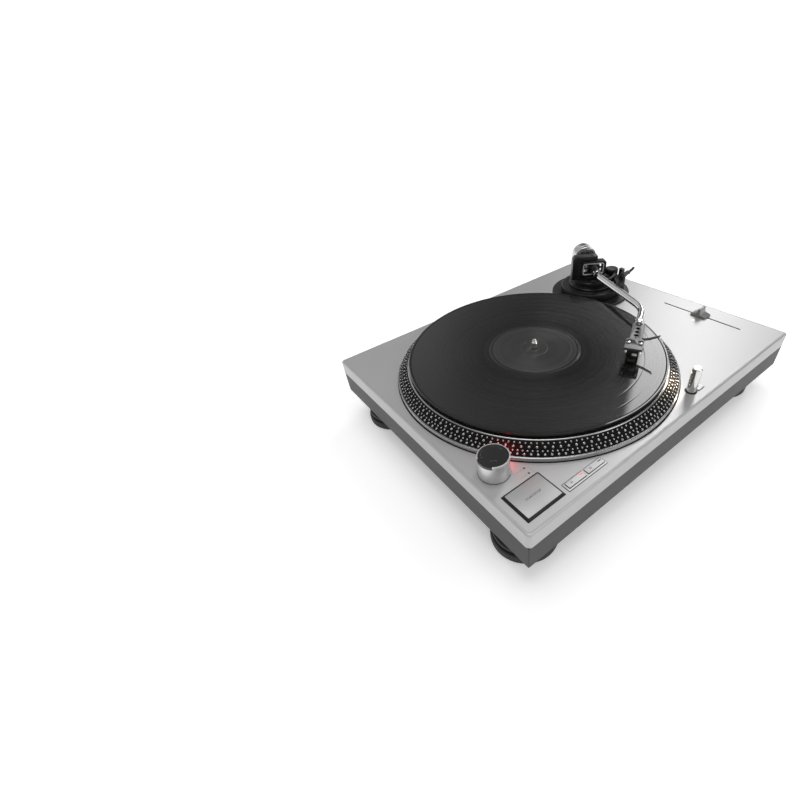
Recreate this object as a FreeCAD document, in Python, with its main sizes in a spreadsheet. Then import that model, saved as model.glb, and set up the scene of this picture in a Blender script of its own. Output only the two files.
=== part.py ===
import FreeCAD, Part
import Sketcher
import math
import os

# A direct-drive disc player with a pitch fader and an S-shaped arm, in millimetres.
# Frame: origin on the floor under the middle of the plinth, +X to the right,
# +Y to the back, +Z up. Every sub-part is one document object whose Label is
# the name of its file in parts/.

V = FreeCAD.Vector
doc = FreeCAD.newDocument("turntable")
sheet = doc.addObject("Spreadsheet::Sheet", "Sizes")

SIZES = [
    # plinth
    ("plinth_w", 450), ("plinth_d", 352), ("top_z", 84), ("band_z", 66.3), ("base_z", 37.5),
    ("case_corner", 4.5), ("edge_round", 2.2), ("plate_inset", 2.6), ("plate_gap", 0.25), ("plate_thick", 1.5),
    ("panel_thick", 3), ("wall", 3), ("lower_inset", 0.5), ("floor_thick", 3.5),
    # platter well and platter
    ("spindle_x", -49), ("spindle_y", -1.5), ("well_r", 167.2), ("well_wall", 1.4), ("well_floor", 71.5), ("well_floor_thick", 2.5),
    ("lip_r", 166.3), ("lip_top", 4.6), ("dots_r", 164.3), ("rim_r", 152.5), ("rim_top", 16), ("mat_r", 147.5),
    ("deck_top", 15.2), ("mat_top", 18.4), ("record_low", 18.6), ("record_top", 20.7), ("record_r", 150.8), ("label_r", 50),
    ("spindle_r", 4), ("neck_r", 3.2), ("spindle_tip", 33.3), ("pin_r", 3.57), ("slip", 0.05), ("gap", 0.3),
    # feet
    ("foot_x", 185.8), ("foot_y", 129.5), ("foot_r", 35.2), ("stud_r", 4),
    # front left controls
    ("knob_x", -200.3), ("knob_y", -104.1), ("knob_r", 15.3), ("pod_h", 18.3), ("knob_h", 21.8), ("knob_shaft_r", 3),
    ("start_x", -193.4), ("start_y", -148.3), ("start_w", 43.5), ("start_d", 33.4), ("start_rise", 2),
    ("tray_x0", -166.5), ("tray_x1", -115.9), ("tray_y0", -165.7), ("tray_y1", -156.4), ("tray_rise", 0.5),
    ("speed_w", 22), ("speed_d", 6.2), ("speed_x33", -153.1), ("speed_x45", -128.2), ("speed_y", -160.5), ("speed_rise", 1.5),
    # target light and its button
    ("light_x", 33.4), ("light_y", -158.9), ("light_r", 5), ("light_h", 30.3),
    ("lbtn_x", 45), ("lbtn_y", -159.5), ("lbtn_w", 11), ("lbtn_d", 10), ("lbtn_rise", 1.2),
    # pitch fader
    ("pitch_x", 192.8), ("pitch_y", -77), ("slot_len", 110), ("slot_w", 2.4), ("pitch_w", 14), ("pitch_d", 21), ("fin_h", 11.5),
    ("led_x", 174.5), ("led_y", -77),
    # arm base
    ("pivot_x", 150.3), ("pivot_y", 79.3), ("base_r", 57.5), ("base_h", 3), ("ring_r", 44), ("ring_top", 13),
    ("column_r", 25), ("step_r", 32.5), ("step_top", 16), ("table_r", 24), ("table_top", 22),
    # gimbal and arm, heights above the top plate
    ("arm_z", 37), ("arm_turn", -124), ("yoke_turn", -128), ("yoke_top", 56), ("ring_half", 19), ("ring_low", 25.5), ("ring_high", 48.5),
    ("bar_half", 4.5), ("pivot_pin", 1.5), ("tube_r", 4.5), ("tube_hole", 3.7), ("sleeve_r", 6), ("sleeve_end", 26), ("rear_r", 5), ("rear_end", 66),
    ("bend1_x", 35.8), ("bend2_x", 138.3), ("bend2_y", 23.9), ("bend1_r", 60), ("bend2_r", 42), ("shell_turn", -26.7),
    ("weight_r", 17.2), ("weight_front", 38), ("weight_back", 60), ("dial_front", 32), ("dial_r", 15.7), ("bush_r", 8),
    # headshell, measured along the shell from the end of the tube
    ("shell_x", 63.8), ("shell_y", -65.0), ("shell_angle", -150.7), ("shell_top", 3), ("shell_thick", 2.8), ("neck_w", 13.4), ("front_w", 19.6),
    ("neck_t", 13), ("ear_t", 48.6), ("front_t", 69.3), ("screw_t", 57.5), ("screw_half", 6.35), ("stylus_t", 67.6),
    # side controls, from the pivot
    ("skate_x", 25.1), ("skate_y", -16.3), ("skate_r", 9.5), ("skate_low", 25.9), ("skate_top", 34),
    ("post_x", 27.7), ("post_y", -32.3), ("post_w", 6.5), ("post_top", 36.5), ("lift_r", 33), ("lift_z", 26), ("guide_x", 16.5), ("guide_y", -28.58),
    ("rest_x", -10.97), ("rest_y", -55.93), ("rest_turn", -92.9), ("clip_z", 43.6),
]
assert len(set(n for n, _ in SIZES)) == len(SIZES)
for i, (alias, value) in enumerate(SIZES):
    sheet.set("A%d" % (i + 1), alias)
    sheet.set("B%d" % (i + 1), repr(value))
    sheet.setAlias("B%d" % (i + 1), alias)
doc.recompute()


class Size:
    """A length with its value and the same sum as text for the sheet's cells."""

    def __init__(self, value, text):
        self.value = float(value)
        self.text = text

    def __add__(self, o):
        o = size(o)
        return Size(self.value + o.value, "(%s + %s)" % (self.text, o.text))

    def __sub__(self, o):
        o = size(o)
        return Size(self.value - o.value, "(%s - %s)" % (self.text, o.text))

    def __mul__(self, o):
        o = size(o)
        return Size(self.value * o.value, "(%s * %s)" % (self.text, o.text))

    def __truediv__(self, o):
        o = size(o)
        return Size(self.value / o.value, "(%s / %s)" % (self.text, o.text))

    def __neg__(self):
        return Size(-self.value, "(0 - %s)" % self.text)

    def __radd__(self, o):
        return size(o) + self

    def __rsub__(self, o):
        return size(o) - self

    def __rmul__(self, o):
        return size(o) * self


def size(o):
    if isinstance(o, Size):
        return o
    text = "%.6f" % abs(o)
    return Size(o, text if o >= 0 else "(0 - %s)" % text)


class Cells:
    def __getattr__(self, name):
        for alias, value in SIZES:
            if alias == name:
                return Size(value, "Sizes." + name)
        raise AttributeError(name)


c = Cells()
NODES = []


def bind(obj, prop, q):
    """Gives a property its value from the sheet."""
    q = size(q)
    if "Sizes." in q.text:
        obj.setExpression(prop, q.text)


def place(obj, x=0, y=0, z=0, turn=0):
    x, y, z, turn = size(x), size(y), size(z), size(turn)
    obj.Placement = FreeCAD.Placement(V(x.value, y.value, z.value), FreeCAD.Rotation(V(0, 0, 1), turn.value))
    bind(obj, "Placement.Base.x", x)
    bind(obj, "Placement.Base.y", y)
    bind(obj, "Placement.Base.z", z)
    if "Sizes." in turn.text:
        obj.setExpression("Placement.Rotation.Angle", turn.text)


def body(name, x=0, y=0, z=0, turn=0):
    b = doc.addObject("PartDesign::Body", name)
    b.Label = name
    place(b, x, y, z, turn)
    NODES.append(b)
    return b


def plane(b, role):
    return [o for o in b.Origin.OriginFeatures if o.Role == role][0]


def point_constraints(s, i, pos, x, y):
    for kind, q, tag in (("DistanceX", size(x), "x"), ("DistanceY", size(y), "y")):
        if abs(q.value) < 1e-9 and "Sizes." not in q.text:
            # on an axis of the sketch
            s.addConstraint(Sketcher.Constraint("PointOnObject", i, pos, -2 if tag == "x" else -1))
            continue
        n = s.addConstraint(Sketcher.Constraint(kind, -1, 1, i, pos, q.value))
        if "Sizes." in q.text:
            name = "%s%d_%d" % (tag, i, pos)
            s.renameConstraint(n, name)
            s.setExpression("Constraints." + name, q.text)


def rounded_rectangle(s, x0, y0, x1, y1, r):
    """Four lines and four tangent arcs, fixed by the four sides and the corner radius."""
    x0, y0, x1, y1, r = size(x0), size(y0), size(x1), size(y1), size(r)
    a, b_, c_, d, q = x0.value, y0.value, x1.value, y1.value, r.value
    first = s.GeometryCount
    for p0, p1 in (((a + q, b_), (c_ - q, b_)), ((c_, b_ + q), (c_, d - q)), ((c_ - q, d), (a + q, d)), ((a, d - q), (a, b_ + q))):
        s.addGeometry(Part.LineSegment(V(p0[0], p0[1], 0), V(p1[0], p1[1], 0)), False)
    for (cx, cy), start in (((c_ - q, b_ + q), -90), ((c_ - q, d - q), 0), ((a + q, d - q), 90), ((a + q, b_ + q), 180)):
        s.addGeometry(Part.ArcOfCircle(Part.Circle(V(cx, cy, 0), V(0, 0, 1), q), math.radians(start), math.radians(start + 90)), False)
    for k in range(4):
        s.addConstraint(Sketcher.Constraint("Tangent", first + k, 2, first + 4 + k, 1))
        s.addConstraint(Sketcher.Constraint("Tangent", first + 4 + k, 2, first + (k + 1) % 4, 1))
    for k in range(4):
        s.addConstraint(Sketcher.Constraint("Vertical" if k % 2 else "Horizontal", first + k))
        kind, side = (("DistanceX", (None, x1, None, x0)[k]) if k % 2 else ("DistanceY", (y0, None, y1, None)[k]))
        n = s.addConstraint(Sketcher.Constraint(kind, -1, 1, first + k, 1, side.value))
        if "Sizes." in side.text:
            s.renameConstraint(n, "side%d" % (first + k))
            s.setExpression("Constraints.side%d" % (first + k), side.text)
        n = s.addConstraint(Sketcher.Constraint("Radius", first + 4 + k, r.value))
        if "Sizes." in r.text:
            s.renameConstraint(n, "corner%d" % (first + k))
            s.setExpression("Constraints.corner%d" % (first + k), r.text)


def sketch(b, role, polys=(), circles=(), off=0):
    """A sketch on one of the body's own planes: closed polygons of (x, y) points and circles of (x, y, r)."""
    s = b.newObject("Sketcher::SketchObject", b.Name + "_sketch")
    s.AttachmentSupport = [(plane(b, role), "")]
    s.MapMode = "FlatFace"
    off = size(off)
    s.AttachmentOffset = FreeCAD.Placement(V(0, 0, off.value), FreeCAD.Rotation())
    bind(s, "AttachmentOffset.Base.z", off)
    for poly in polys:
        if poly[0] == "rounded":
            rounded_rectangle(s, *poly[1:])
            continue
        pts = [(size(x), size(y)) for x, y in poly]
        first = s.GeometryCount
        n = len(pts)
        for k in range(n):
            p, q = pts[k], pts[(k + 1) % n]
            s.addGeometry(Part.LineSegment(V(p[0].value, p[1].value, 0), V(q[0].value, q[1].value, 0)), False)
        for k in range(n):
            s.addConstraint(Sketcher.Constraint("Coincident", first + k, 2, first + (k + 1) % n, 1))
        for k in range(n):
            point_constraints(s, first + k, 1, *pts[k])
    for x, y, r in circles:
        x, y, r = size(x), size(y), size(r)
        i = s.addGeometry(Part.Circle(V(x.value, y.value, 0), V(0, 0, 1), r.value), False)
        point_constraints(s, i, 3, x, y)
        n = s.addConstraint(Sketcher.Constraint("Radius", i, r.value))
        if "Sizes." in r.text:
            s.renameConstraint(n, "r%d" % i)
            s.setExpression("Constraints.r%d" % i, r.text)
    return s


def rect(x0, y0, x1, y1):
    return [(x0, y0), (x1, y0), (x1, y1), (x0, y1)]


def box_at(x, y, w, d):
    x, y, w, d = size(x), size(y), size(w), size(d)
    return rect(x - w / 2, y - d / 2, x + w / 2, y + d / 2)


def pad(b, s, length, reverse=False):
    f = b.newObject("PartDesign::Pad", b.Name + "_pad")
    f.Profile = s
    length = size(length)
    f.Length = length.value
    bind(f, "Length", length)
    f.Reversed = reverse
    s.Visibility = False
    return f


def pocket(b, s, length=None, reverse=False, both=False):
    """A cut. It checks that the cut takes something away."""
    doc.recompute()
    before = b.Shape.Volume
    f = b.newObject("PartDesign::Pocket", b.Name + "_pocket")
    f.Profile = s
    if length is None:
        f.Type = "ThroughAll"
        f.Midplane = True
    else:
        length = size(length)
        f.Length = length.value
        bind(f, "Length", length)
        if both:
            f.Midplane = True
    f.Reversed = reverse
    doc.recompute()
    if not b.Shape.Volume < before - 1e-6:
        raise RuntimeError("%s: the cut %s takes nothing away (%s, %.1f to %.1f)" % (b.Label, f.Name, f.State, before, b.Shape.Volume))
    return f


def pad_z(b, z0, z1, polys=(), circles=()):
    """A pad between two heights."""
    return pad(b, sketch(b, "XY_Plane", polys, circles, z0), size(z1) - size(z0))


def cut_z(b, z0, z1, polys=(), circles=()):
    return pocket(b, sketch(b, "XY_Plane", polys, circles, z1), size(z1) - size(z0))


def pad_x(b, x0, x1, polys=(), circles=()):
    """A pad between two planes across X, drawn in (y, z)."""
    return pad(b, sketch(b, "YZ_Plane", polys, circles, x0), size(x1) - size(x0))


def cut_x(b, x0, x1, polys=(), circles=()):
    return pocket(b, sketch(b, "YZ_Plane", polys, circles, x1), size(x1) - size(x0))


def pad_y(b, y0, y1, polys=(), circles=()):
    """A pad between two planes across Y, drawn in (x, z)."""
    return pad(b, sketch(b, "XZ_Plane", polys, circles, -size(y1)), size(y1) - size(y0))


def cut_y(b, y0, y1, polys=(), circles=()):
    return pocket(b, sketch(b, "XZ_Plane", polys, circles, -size(y0)), size(y1) - size(y0))


def revolve(b, pts, groove=False):
    """A turned shape about the body's Z axis, from (radius, height) points."""
    s = sketch(b, "XZ_Plane", [pts])
    if groove:
        doc.recompute()
        before = b.Shape.Volume
    f = b.newObject("PartDesign::Groove" if groove else "PartDesign::Revolution", b.Name + "_turned")
    f.Profile = s
    f.ReferenceAxis = (s, ["V_Axis"])
    f.Angle = 360
    if groove:
        doc.recompute()
        if not b.Shape.Volume < before - 1e-6:
            raise RuntimeError("%s: the groove takes nothing away" % b.Label)
    return f


def revolve_x(b, pts, groove=False):
    """A turned shape about the body's X axis, from (x, radius) points, above the axis in the XZ plane."""
    s = sketch(b, "XZ_Plane", [pts])
    if groove:
        doc.recompute()
        before = b.Shape.Volume
    f = b.newObject("PartDesign::Groove" if groove else "PartDesign::Revolution", b.Name + "_turned")
    f.Profile = s
    f.ReferenceAxis = (s, ["H_Axis"])
    f.Angle = 360
    if groove:
        doc.recompute()
        if not b.Shape.Volume < before - 1e-6:
            raise RuntimeError("%s: the groove takes nothing away" % b.Label)
    return f


def edges(b, pick):
    doc.recompute()
    out = []
    shape = b.Tip.Shape
    for i, e in enumerate(shape.Edges):
        bb = e.BoundBox
        if pick(e, bb):
            out.append("Edge%d" % (i + 1))
    return out


def fillet(b, radius, pick):
    names = edges(b, pick)
    if not names:
        raise RuntimeError(b.Label + ": no edge to round")
    base = b.Tip
    f = b.newObject("PartDesign::Fillet", b.Name + "_fillet")
    f.Base = (base, names)
    radius = size(radius)
    f.Radius = radius.value
    bind(f, "Radius", radius)
    doc.recompute()
    if "Error" in f.State or "Invalid" in f.State:
        raise RuntimeError("%s: %s of %s fails on %d edges" % (b.Label, f.Name, radius.value, len(names)))
    return f


def chamfer(b, length, pick):
    names = edges(b, pick)
    if not names:
        raise RuntimeError(b.Label + ": no edge to bevel")
    base = b.Tip
    f = b.newObject("PartDesign::Chamfer", b.Name + "_chamfer")
    f.Base = (base, names)
    length = size(length)
    f.Size = length.value
    bind(f, "Size", length)
    doc.recompute()
    if "Error" in f.State or "Invalid" in f.State:
        raise RuntimeError("%s: %s of %s fails on %d edges" % (b.Label, f.Name, length.value, len(names)))
    return f


def polar(b, feature, count, angle=360):
    f = b.newObject("PartDesign::PolarPattern", b.Name + "_polar")
    f.Originals = [feature]
    f.Axis = (plane(b, "Z_Axis"), [""])
    f.Angle = angle
    f.Occurrences = count
    b.Tip = f
    doc.recompute()
    return f


def vertical(e, bb):
    return bb.XLength < 1e-6 and bb.YLength < 1e-6 and bb.ZLength > 1e-3


def at_z(z, tol=1e-4):
    z = size(z).value
    return lambda e, bb: abs(bb.ZMin - z) < tol and abs(bb.ZMax - z) < tol


def group(name, members):
    """Identical fasteners that share one node: a compound of separate solids."""
    g = doc.addObject("Part::Compound", name)
    g.Label = name
    g.Links = members
    place(g)
    NODES.append(g)
    return g


def screw(name, x, y, z, head_r, head_h, shank_r, length, up=True):
    """A pan-head screw as a turned solid: the head below z and the shank above it, or turned over."""
    b = doc.addObject("PartDesign::Body", name)
    place(b, x, y, z)
    k = 1 if up else -1
    pts = [(0, -k * head_h), (head_r * 0.75, -k * head_h), (head_r, -k * head_h * 0.55), (head_r, 0), (shank_r, 0), (shank_r, k * length), (0, k * length)]
    revolve(b, pts)
    return b


T = c.top_z  # heights above the top plate are T + something
SX, SY = c.spindle_x, c.spindle_y

# ------------------------------------------------------------------ casing
W2, D2 = c.plinth_w / 2, c.plinth_d / 2
HOLES_RECT = {
    "start": box_at(c.start_x, c.start_y, c.start_w + 2 * c.gap, c.start_d + 2 * c.gap),
    "light_button": box_at(c.lbtn_x, c.lbtn_y, c.lbtn_w + 2 * c.gap, c.lbtn_d + 2 * c.gap),
}

b = body("top_plate")
inset = c.plate_inset + c.plate_gap
pad_z(b, T - c.plate_thick, T, [("rounded", inset - W2, inset - D2, W2 - inset, D2 - inset, c.case_corner - 1.65)])
cut_z(b, T - c.plate_thick - 1, T + 1,
      [HOLES_RECT["start"], rect(c.tray_x0 - 0.15, c.tray_y0 - 0.15, c.tray_x1 + 0.15, c.tray_y1 + 0.15), HOLES_RECT["light_button"],
       box_at(c.pitch_x, c.pitch_y, c.slot_w, c.slot_len)],
      [(SX, SY, c.well_r), (c.knob_x, c.knob_y, 6), (c.light_x, c.light_y, c.light_r + c.gap), (c.led_x, c.led_y, 1.75),
       (-177.3, -119.3, 1.15), (-177.9, -126.6, 1.15), (c.pivot_x, c.pivot_y, 30)])

b = body("upper_case")
pad_z(b, c.band_z, T, [rect(-W2, -D2, W2, D2)])
fillet(b, c.case_corner, vertical)
fillet(b, c.edge_round, lambda e, bb: at_z(T)(e, bb))
cut_z(b, T - c.plate_thick, T + 1, [("rounded", c.plate_inset - W2, c.plate_inset - D2, W2 - c.plate_inset, D2 - c.plate_inset, c.case_corner - 1.4)])
cut_z(b, c.band_z - 1, T - c.plate_thick - c.panel_thick, [rect(c.wall - W2, c.wall - D2, W2 - c.wall, D2 - c.wall)])
pad_z(b, c.band_z + 1, T - c.plate_thick, (), [(c.light_x, c.light_y, c.light_r + 2.6)])
cut_z(b, T - c.plate_thick - c.panel_thick - 1, T + 1, (), [(SX, SY, c.well_r)])
cut_z(b, c.band_z - 1, T + 1,
      [HOLES_RECT["start"], rect(c.tray_x0 + 1, c.tray_y0 + 1, c.tray_x1 - 1, c.tray_y1 - 0.5), HOLES_RECT["light_button"],
       box_at(c.pitch_x, c.pitch_y, 22, 124)],
      [(c.knob_x, c.knob_y, 6), (c.light_x, c.light_y, c.light_r + c.gap), (c.led_x, c.led_y, 1.75),
       (-177.3, -119.3, 1.15), (-177.9, -126.6, 1.15), (c.pivot_x, c.pivot_y, 30)])

# the pan that the platter turns in, under the case's round opening
b = body("platter_well", SX, SY)
wf = c.well_floor - c.well_floor_thick
revolve(b, [(13, wf), (c.well_r + c.well_wall, wf), (c.well_r + c.well_wall, T - c.plate_thick - c.panel_thick), (c.well_r, T - c.plate_thick - c.panel_thick), (c.well_r, c.well_floor), (13, c.well_floor)])

b = body("lower_case")
LW, LD = W2 - c.lower_inset, D2 - c.lower_inset
pad_z(b, c.base_z, c.band_z, [rect(-LW, -LD, LW, LD)])
fillet(b, 1.2, vertical)
cut_z(b, c.base_z + c.floor_thick, c.band_z + 1, [rect(c.wall + 0.5 - LW, c.wall + 0.5 - LD, LW - c.wall - 0.5, LD - c.wall - 0.5)])
# connector recess at the back, a box that opens to the rear
pad_z(b, 41, 65, [rect(56, LD - 17, 134, LD - 1)])
cut_y(b, LD - 15, LD + 1, [rect(58, 43, 132, 63)])
# access opening under the motor, holes for the jacks, the inlet, the foot studs and the cover's screws
cut_z(b, c.base_z - 1, c.base_z + c.floor_thick + 1, [rect(-150, -90, 50, 90)])
cut_y(b, LD - 18, LD - 14, (), [(72, 53, 4.1), (90, 53, 4.1), (116, 53, 2.1)])
cut_y(b, LD - 5, LD + 1, [rect(-161, 45, -139, 59)])
cut_z(b, c.base_z - 1, c.base_z + c.floor_thick + 1, (), [(sx * c.foot_x, sy * c.foot_y, c.stud_r + 0.02) for sx in (-1, 1) for sy in (-1, 1)])
COVER_SCREWS = [(-156, -96), (-50, -96), (56, -96), (-156, 0), (56, 0), (-156, 96), (-50, 96), (56, 96)]
cut_z(b, c.base_z - 1, c.base_z + 3, (), [(x, y, 1.55) for x, y in COVER_SCREWS])

b = body("base_plate")
pad_z(b, c.base_z - 1.5, c.base_z, [rect(-162, -102, 62, 102)])
fillet(b, 4, vertical)
cut_z(b, c.base_z - 2, c.base_z + 1, (), [(x, y, 1.55) for x, y in COVER_SCREWS])

group("case_screws", [screw("cover_screw_%d" % i, x, y, c.base_z - 1.5, 3, 1.8, 1.5, 3.9) for i, (x, y) in enumerate(COVER_SCREWS)])

studs = []
for i, (sx, sy) in enumerate(((-1, -1), (1, -1), (-1, 1), (1, 1))):
    s_ = doc.addObject("PartDesign::Body", "stud_%d" % i)
    place(s_, sx * c.foot_x, sy * c.foot_y, 0)
    revolve(s_, [(0, 15), (c.stud_r - 0.6, 15), (c.stud_r, 15.6), (c.stud_r, c.base_z + c.floor_thick), (7, c.base_z + c.floor_thick), (7, c.base_z + c.floor_thick + 4), (0, c.base_z + c.floor_thick + 4)])
    studs.append(s_)
group("foot_studs", studs)

for tag, sx, sy in (("fl", -1, -1), ("fr", 1, -1), ("rl", -1, 1), ("rr", 1, 1)):
    b = body("foot_" + tag, sx * c.foot_x, sy * c.foot_y)
    R = c.foot_r
    revolve(b, [(0, 0.6), (R - 6, 0.6), (R - 5, 0), (R - 1.2, 0), (R, 1.5), (R, 10), (R - 1.4, 11.2), (R - 3.4, 11.4), (R - 3.4, 13),
                (R - 1.8, 13.2), (R - 1.8, 17), (R - 3, 18), (R - 6, 18.4), (R - 6, 20.5), (R - 4.2, 21), (R - 4.2, 25), (R - 8, 31),
                (R - 12, 33), (R - 12, c.base_z - 0.3), (c.stud_r + c.slip, c.base_z - 0.3), (c.stud_r + c.slip, 8), (0, 8)])

# ------------------------------------------------------------------ drive and platter
b = body("motor_stator", SX, SY)
revolve(b, [(15, c.well_floor), (43, c.well_floor), (43, c.well_floor + 2), (40, c.well_floor + 2.5), (40, T + 8.5), (38, T + 9.5), (22, T + 9.5), (20, T + 8.5), (20, c.well_floor + 2.5), (15, c.well_floor + 2)])
slot_ = pocket(b, sketch(b, "XY_Plane", [rect(24, -2, 41, 2)], (), T + 9.6), 12)
polar(b, slot_, 12)

b = body("spindle_bearing", SX, SY)
revolve(b, [(0, 44), (9, 44), (9, 47), (6.5, 49), (6.5, c.well_floor - c.well_floor_thick - 3), (17, c.well_floor - c.well_floor_thick - 3), (17, c.well_floor - c.well_floor_thick), (12.5, c.well_floor - c.well_floor_thick), (12.5, c.well_floor + 0.5),
            (6.5, c.well_floor + 2), (6.5, T - 4), (c.spindle_r + c.slip, T - 4), (c.spindle_r + c.slip, 47), (0, 47)])

b = body("spindle", SX, SY)
revolve(b, [(0, 47.3), (2.2, 47.3), (c.spindle_r, 49), (c.spindle_r, T - 3.5), (14, T - 3.5), (14, T + 1), (c.spindle_r, T + 1), (c.spindle_r, T + c.deck_top - 0.4), (c.neck_r, T + c.deck_top), (c.neck_r, T + c.record_top + 0.05), (c.pin_r, T + c.record_top + 0.1),
            (c.pin_r, T + c.spindle_tip - 4.4), (c.pin_r - 0.8, T + c.spindle_tip - 2.2), (1.1, T + c.spindle_tip), (0, T + c.spindle_tip)])

b = body("platter", SX, SY)
revolve(b, [(c.spindle_r + 0.02, T + 1), (17, T + 1), (17, T + 9), (22, T + c.deck_top - 4), (136, T + c.deck_top - 4), (142, T + c.deck_top - 8), (146, T - 6), (c.lip_r - 0.6, T - 6), (c.lip_r, T - 5.4),
            (c.lip_r, T + c.lip_top - 0.9), (c.lip_r - 0.5, T + c.lip_top - 0.2), (c.lip_r - 1.2, T + c.lip_top), (c.dots_r, T + c.lip_top + 0.1), (c.dots_r - 0.5, T + c.lip_top + 1), (c.rim_r, T + c.rim_top - 0.2), (c.rim_r - 0.3, T + c.rim_top), (c.rim_r - 2.6, T + c.rim_top), (c.rim_r - 3.2, T + c.deck_top),
            (c.spindle_r + 0.02, T + c.deck_top)])

b = body("rotor_magnet", SX, SY)
revolve(b, [(46, T + 1.5), (60, T + 1.5), (60, T + c.deck_top - 4), (46, T + c.deck_top - 4)])

b = body("slipmat", SX, SY)
revolve(b, [(c.pin_r + 0.13, T + c.deck_top), (c.mat_r, T + c.deck_top), (c.mat_r, T + c.mat_top - 0.4), (c.mat_r - 0.5, T + c.mat_top), (c.pin_r + 0.13, T + c.mat_top)])

b = body("record", SX, SY)
rt, rb = T + c.record_top, T + c.record_low
revolve(b, [(c.pin_r + 0.05, rb + 0.2), (4.4, rb), (c.label_r + 1, rb), (c.label_r + 4, rb + 0.3), (146, rb + 0.3), (149, rb), (c.record_r - 0.5, rb), (c.record_r, rb + 0.8), (c.record_r, rt - 0.9), (c.record_r - 0.6, rt), (149, rt), (146, rt - 0.3),
            (c.label_r + 4, rt - 0.3), (c.label_r + 1, rt), (4.4, rt), (c.pin_r + 0.05, rt - 0.2)])

# ------------------------------------------------------------------ controls
b = body("strobe_pod", c.knob_x, c.knob_y)
revolve(b, [(5.9, T - 4.4), (c.knob_shaft_r + c.slip, T - 4.4), (c.knob_shaft_r + c.slip, T + c.pod_h), (c.knob_r - 0.2, T + c.pod_h), (c.knob_r - 0.2, T + 0.6), (c.knob_r, T + 0.6), (c.knob_r, T + 0.1), (c.knob_r - 0.1, T), (5.9, T)])
b.Placement = FreeCAD.Placement(V(c.knob_x.value, c.knob_y.value, 0), FreeCAD.Rotation(V(0, 0, 1), 34.1))
cut_x(b, c.knob_r - 3, c.knob_r + 3, [rect(-4.5, T + 7, 4.5, T + 12)])

b = body("power_knob_ring", c.knob_x, c.knob_y)
revolve(b, [(c.knob_r - 1.1, T + c.pod_h + 0.3), (c.knob_r, T + c.pod_h + 0.3), (c.knob_r, T + c.knob_h - 0.4), (c.knob_r - 0.35, T + c.knob_h), (c.knob_r - 1.1, T + c.knob_h)])
# the ring is open over the pointer, from 155 to 226 degrees round
b_pts = [(0, 0)] + [(25 * math.cos(math.radians(a)), 25 * math.sin(math.radians(a))) for a in (155, 178.5, 202, 225.6)]
cut_z(b, T + c.pod_h, T + c.knob_h + 1, [b_pts])

b = body("power_knob_cap", c.knob_x, c.knob_y)
revolve(b, [(0, 66.4), (c.knob_shaft_r, 66.4), (c.knob_shaft_r, T + c.pod_h + 0.3), (c.knob_r - 1.1, T + c.pod_h + 0.3), (c.knob_r - 1.1, T + c.knob_h - 0.5), (c.knob_r - 1.4, T + c.knob_h - 0.3), (0, T + c.knob_h - 0.3)])
# the pointer fills the opening of the ring
pts_ = [(r_ * math.cos(math.radians(a)), r_ * math.sin(math.radians(a))) for r_, row in (((c.knob_r.value - 1.6), (155.5, 178.5, 202, 225.1)), ((c.knob_r.value - 0.05), (225.1, 219, 213, 207, 201, 195, 189, 183, 177, 171, 165, 160, 155.5))) for a in row]
pad_z(b, T + c.pod_h + 0.3, T + c.knob_h - 0.35, [pts_])

b = body("start_stop_button", c.start_x, c.start_y)
hw, hd = c.start_w / 2, c.start_d / 2
pad_z(b, T - 4, T + c.start_rise - 0.3, [rect(-hw, -hd, hw, hd)])
chamfer(b, c.start_rise - 0.4, at_z(T + c.start_rise - 0.3))
pad_z(b, T - 10, T - 4, [rect(-6, -6, 6, 6)])

b = body("start_stop_plate", c.start_x, c.start_y)
pad_z(b, T + c.start_rise - 0.3, T + c.start_rise + 0.1, [rect(1.75 - hw, 1.75 - hd, hw - 1.75, hd - 1.75)])
fillet(b, 0.7, vertical)

b = body("speed_tray")
pad_z(b, T - c.plate_thick, T + c.tray_rise, [rect(c.tray_x0, c.tray_y0, c.tray_x1, c.tray_y1)])
fillet(b, 0.5, vertical)
cut_z(b, T - 4, T + 2, [box_at(c.speed_x33, c.speed_y, c.speed_w + 2 * c.gap, c.speed_d + 2 * c.gap), box_at(c.speed_x45, c.speed_y, c.speed_w + 2 * c.gap, c.speed_d + 2 * c.gap)])

for tag, x in (("33", c.speed_x33), ("45", c.speed_x45)):
    b = body("button_" + tag, x, c.speed_y)
    pad_z(b, T - 4, T + c.speed_rise, [box_at(0, 0, c.speed_w, c.speed_d)])
    fillet(b, 0.5, vertical)
    fillet(b, 0.35, at_z(T + c.speed_rise))
    pad_z(b, T - 9, T - 4, [box_at(0, 0, 8, 4)])

leds = []
for i, (x, y, r) in enumerate(((c.led_x, c.led_y, 1.7), (-177.3, -119.3, 1.1), (-177.9, -126.6, 1.1))):
    s_ = doc.addObject("PartDesign::Body", "led_%d" % i)
    place(s_, x, y, 0)
    revolve(s_, [(0, T - 6), (r, T - 6), (r, T - 0.1), (r * 0.6, T + 0.15), (0, T + 0.2)])
    leds.append(s_)
group("indicator_leds", leds)

b = body("target_light_barrel", c.light_x, c.light_y)
revolve(b, [(0, 70.5), (3.6, 70.5), (c.light_r, 71.5), (c.light_r, T + c.light_h - 0.9), (c.light_r - 0.9, T + c.light_h), (0, T + c.light_h)])
b.Placement = FreeCAD.Placement(V(c.light_x.value, c.light_y.value, 0), FreeCAD.Rotation(V(0, 0, 1), 117.6))
cut_x(b, c.light_r - 2, c.light_r + 3, (), [(0, T + c.light_h - 6, 2.1)])

b = body("light_button", c.lbtn_x, c.lbtn_y)
pad_z(b, T - 4, T + c.lbtn_rise, [box_at(0, 0, c.lbtn_w, c.lbtn_d)])
fillet(b, 0.8, vertical)
fillet(b, 0.4, at_z(T + c.lbtn_rise))
pad_z(b, T - 8, T - 4, [box_at(0, 0, 5, 5)])

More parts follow.
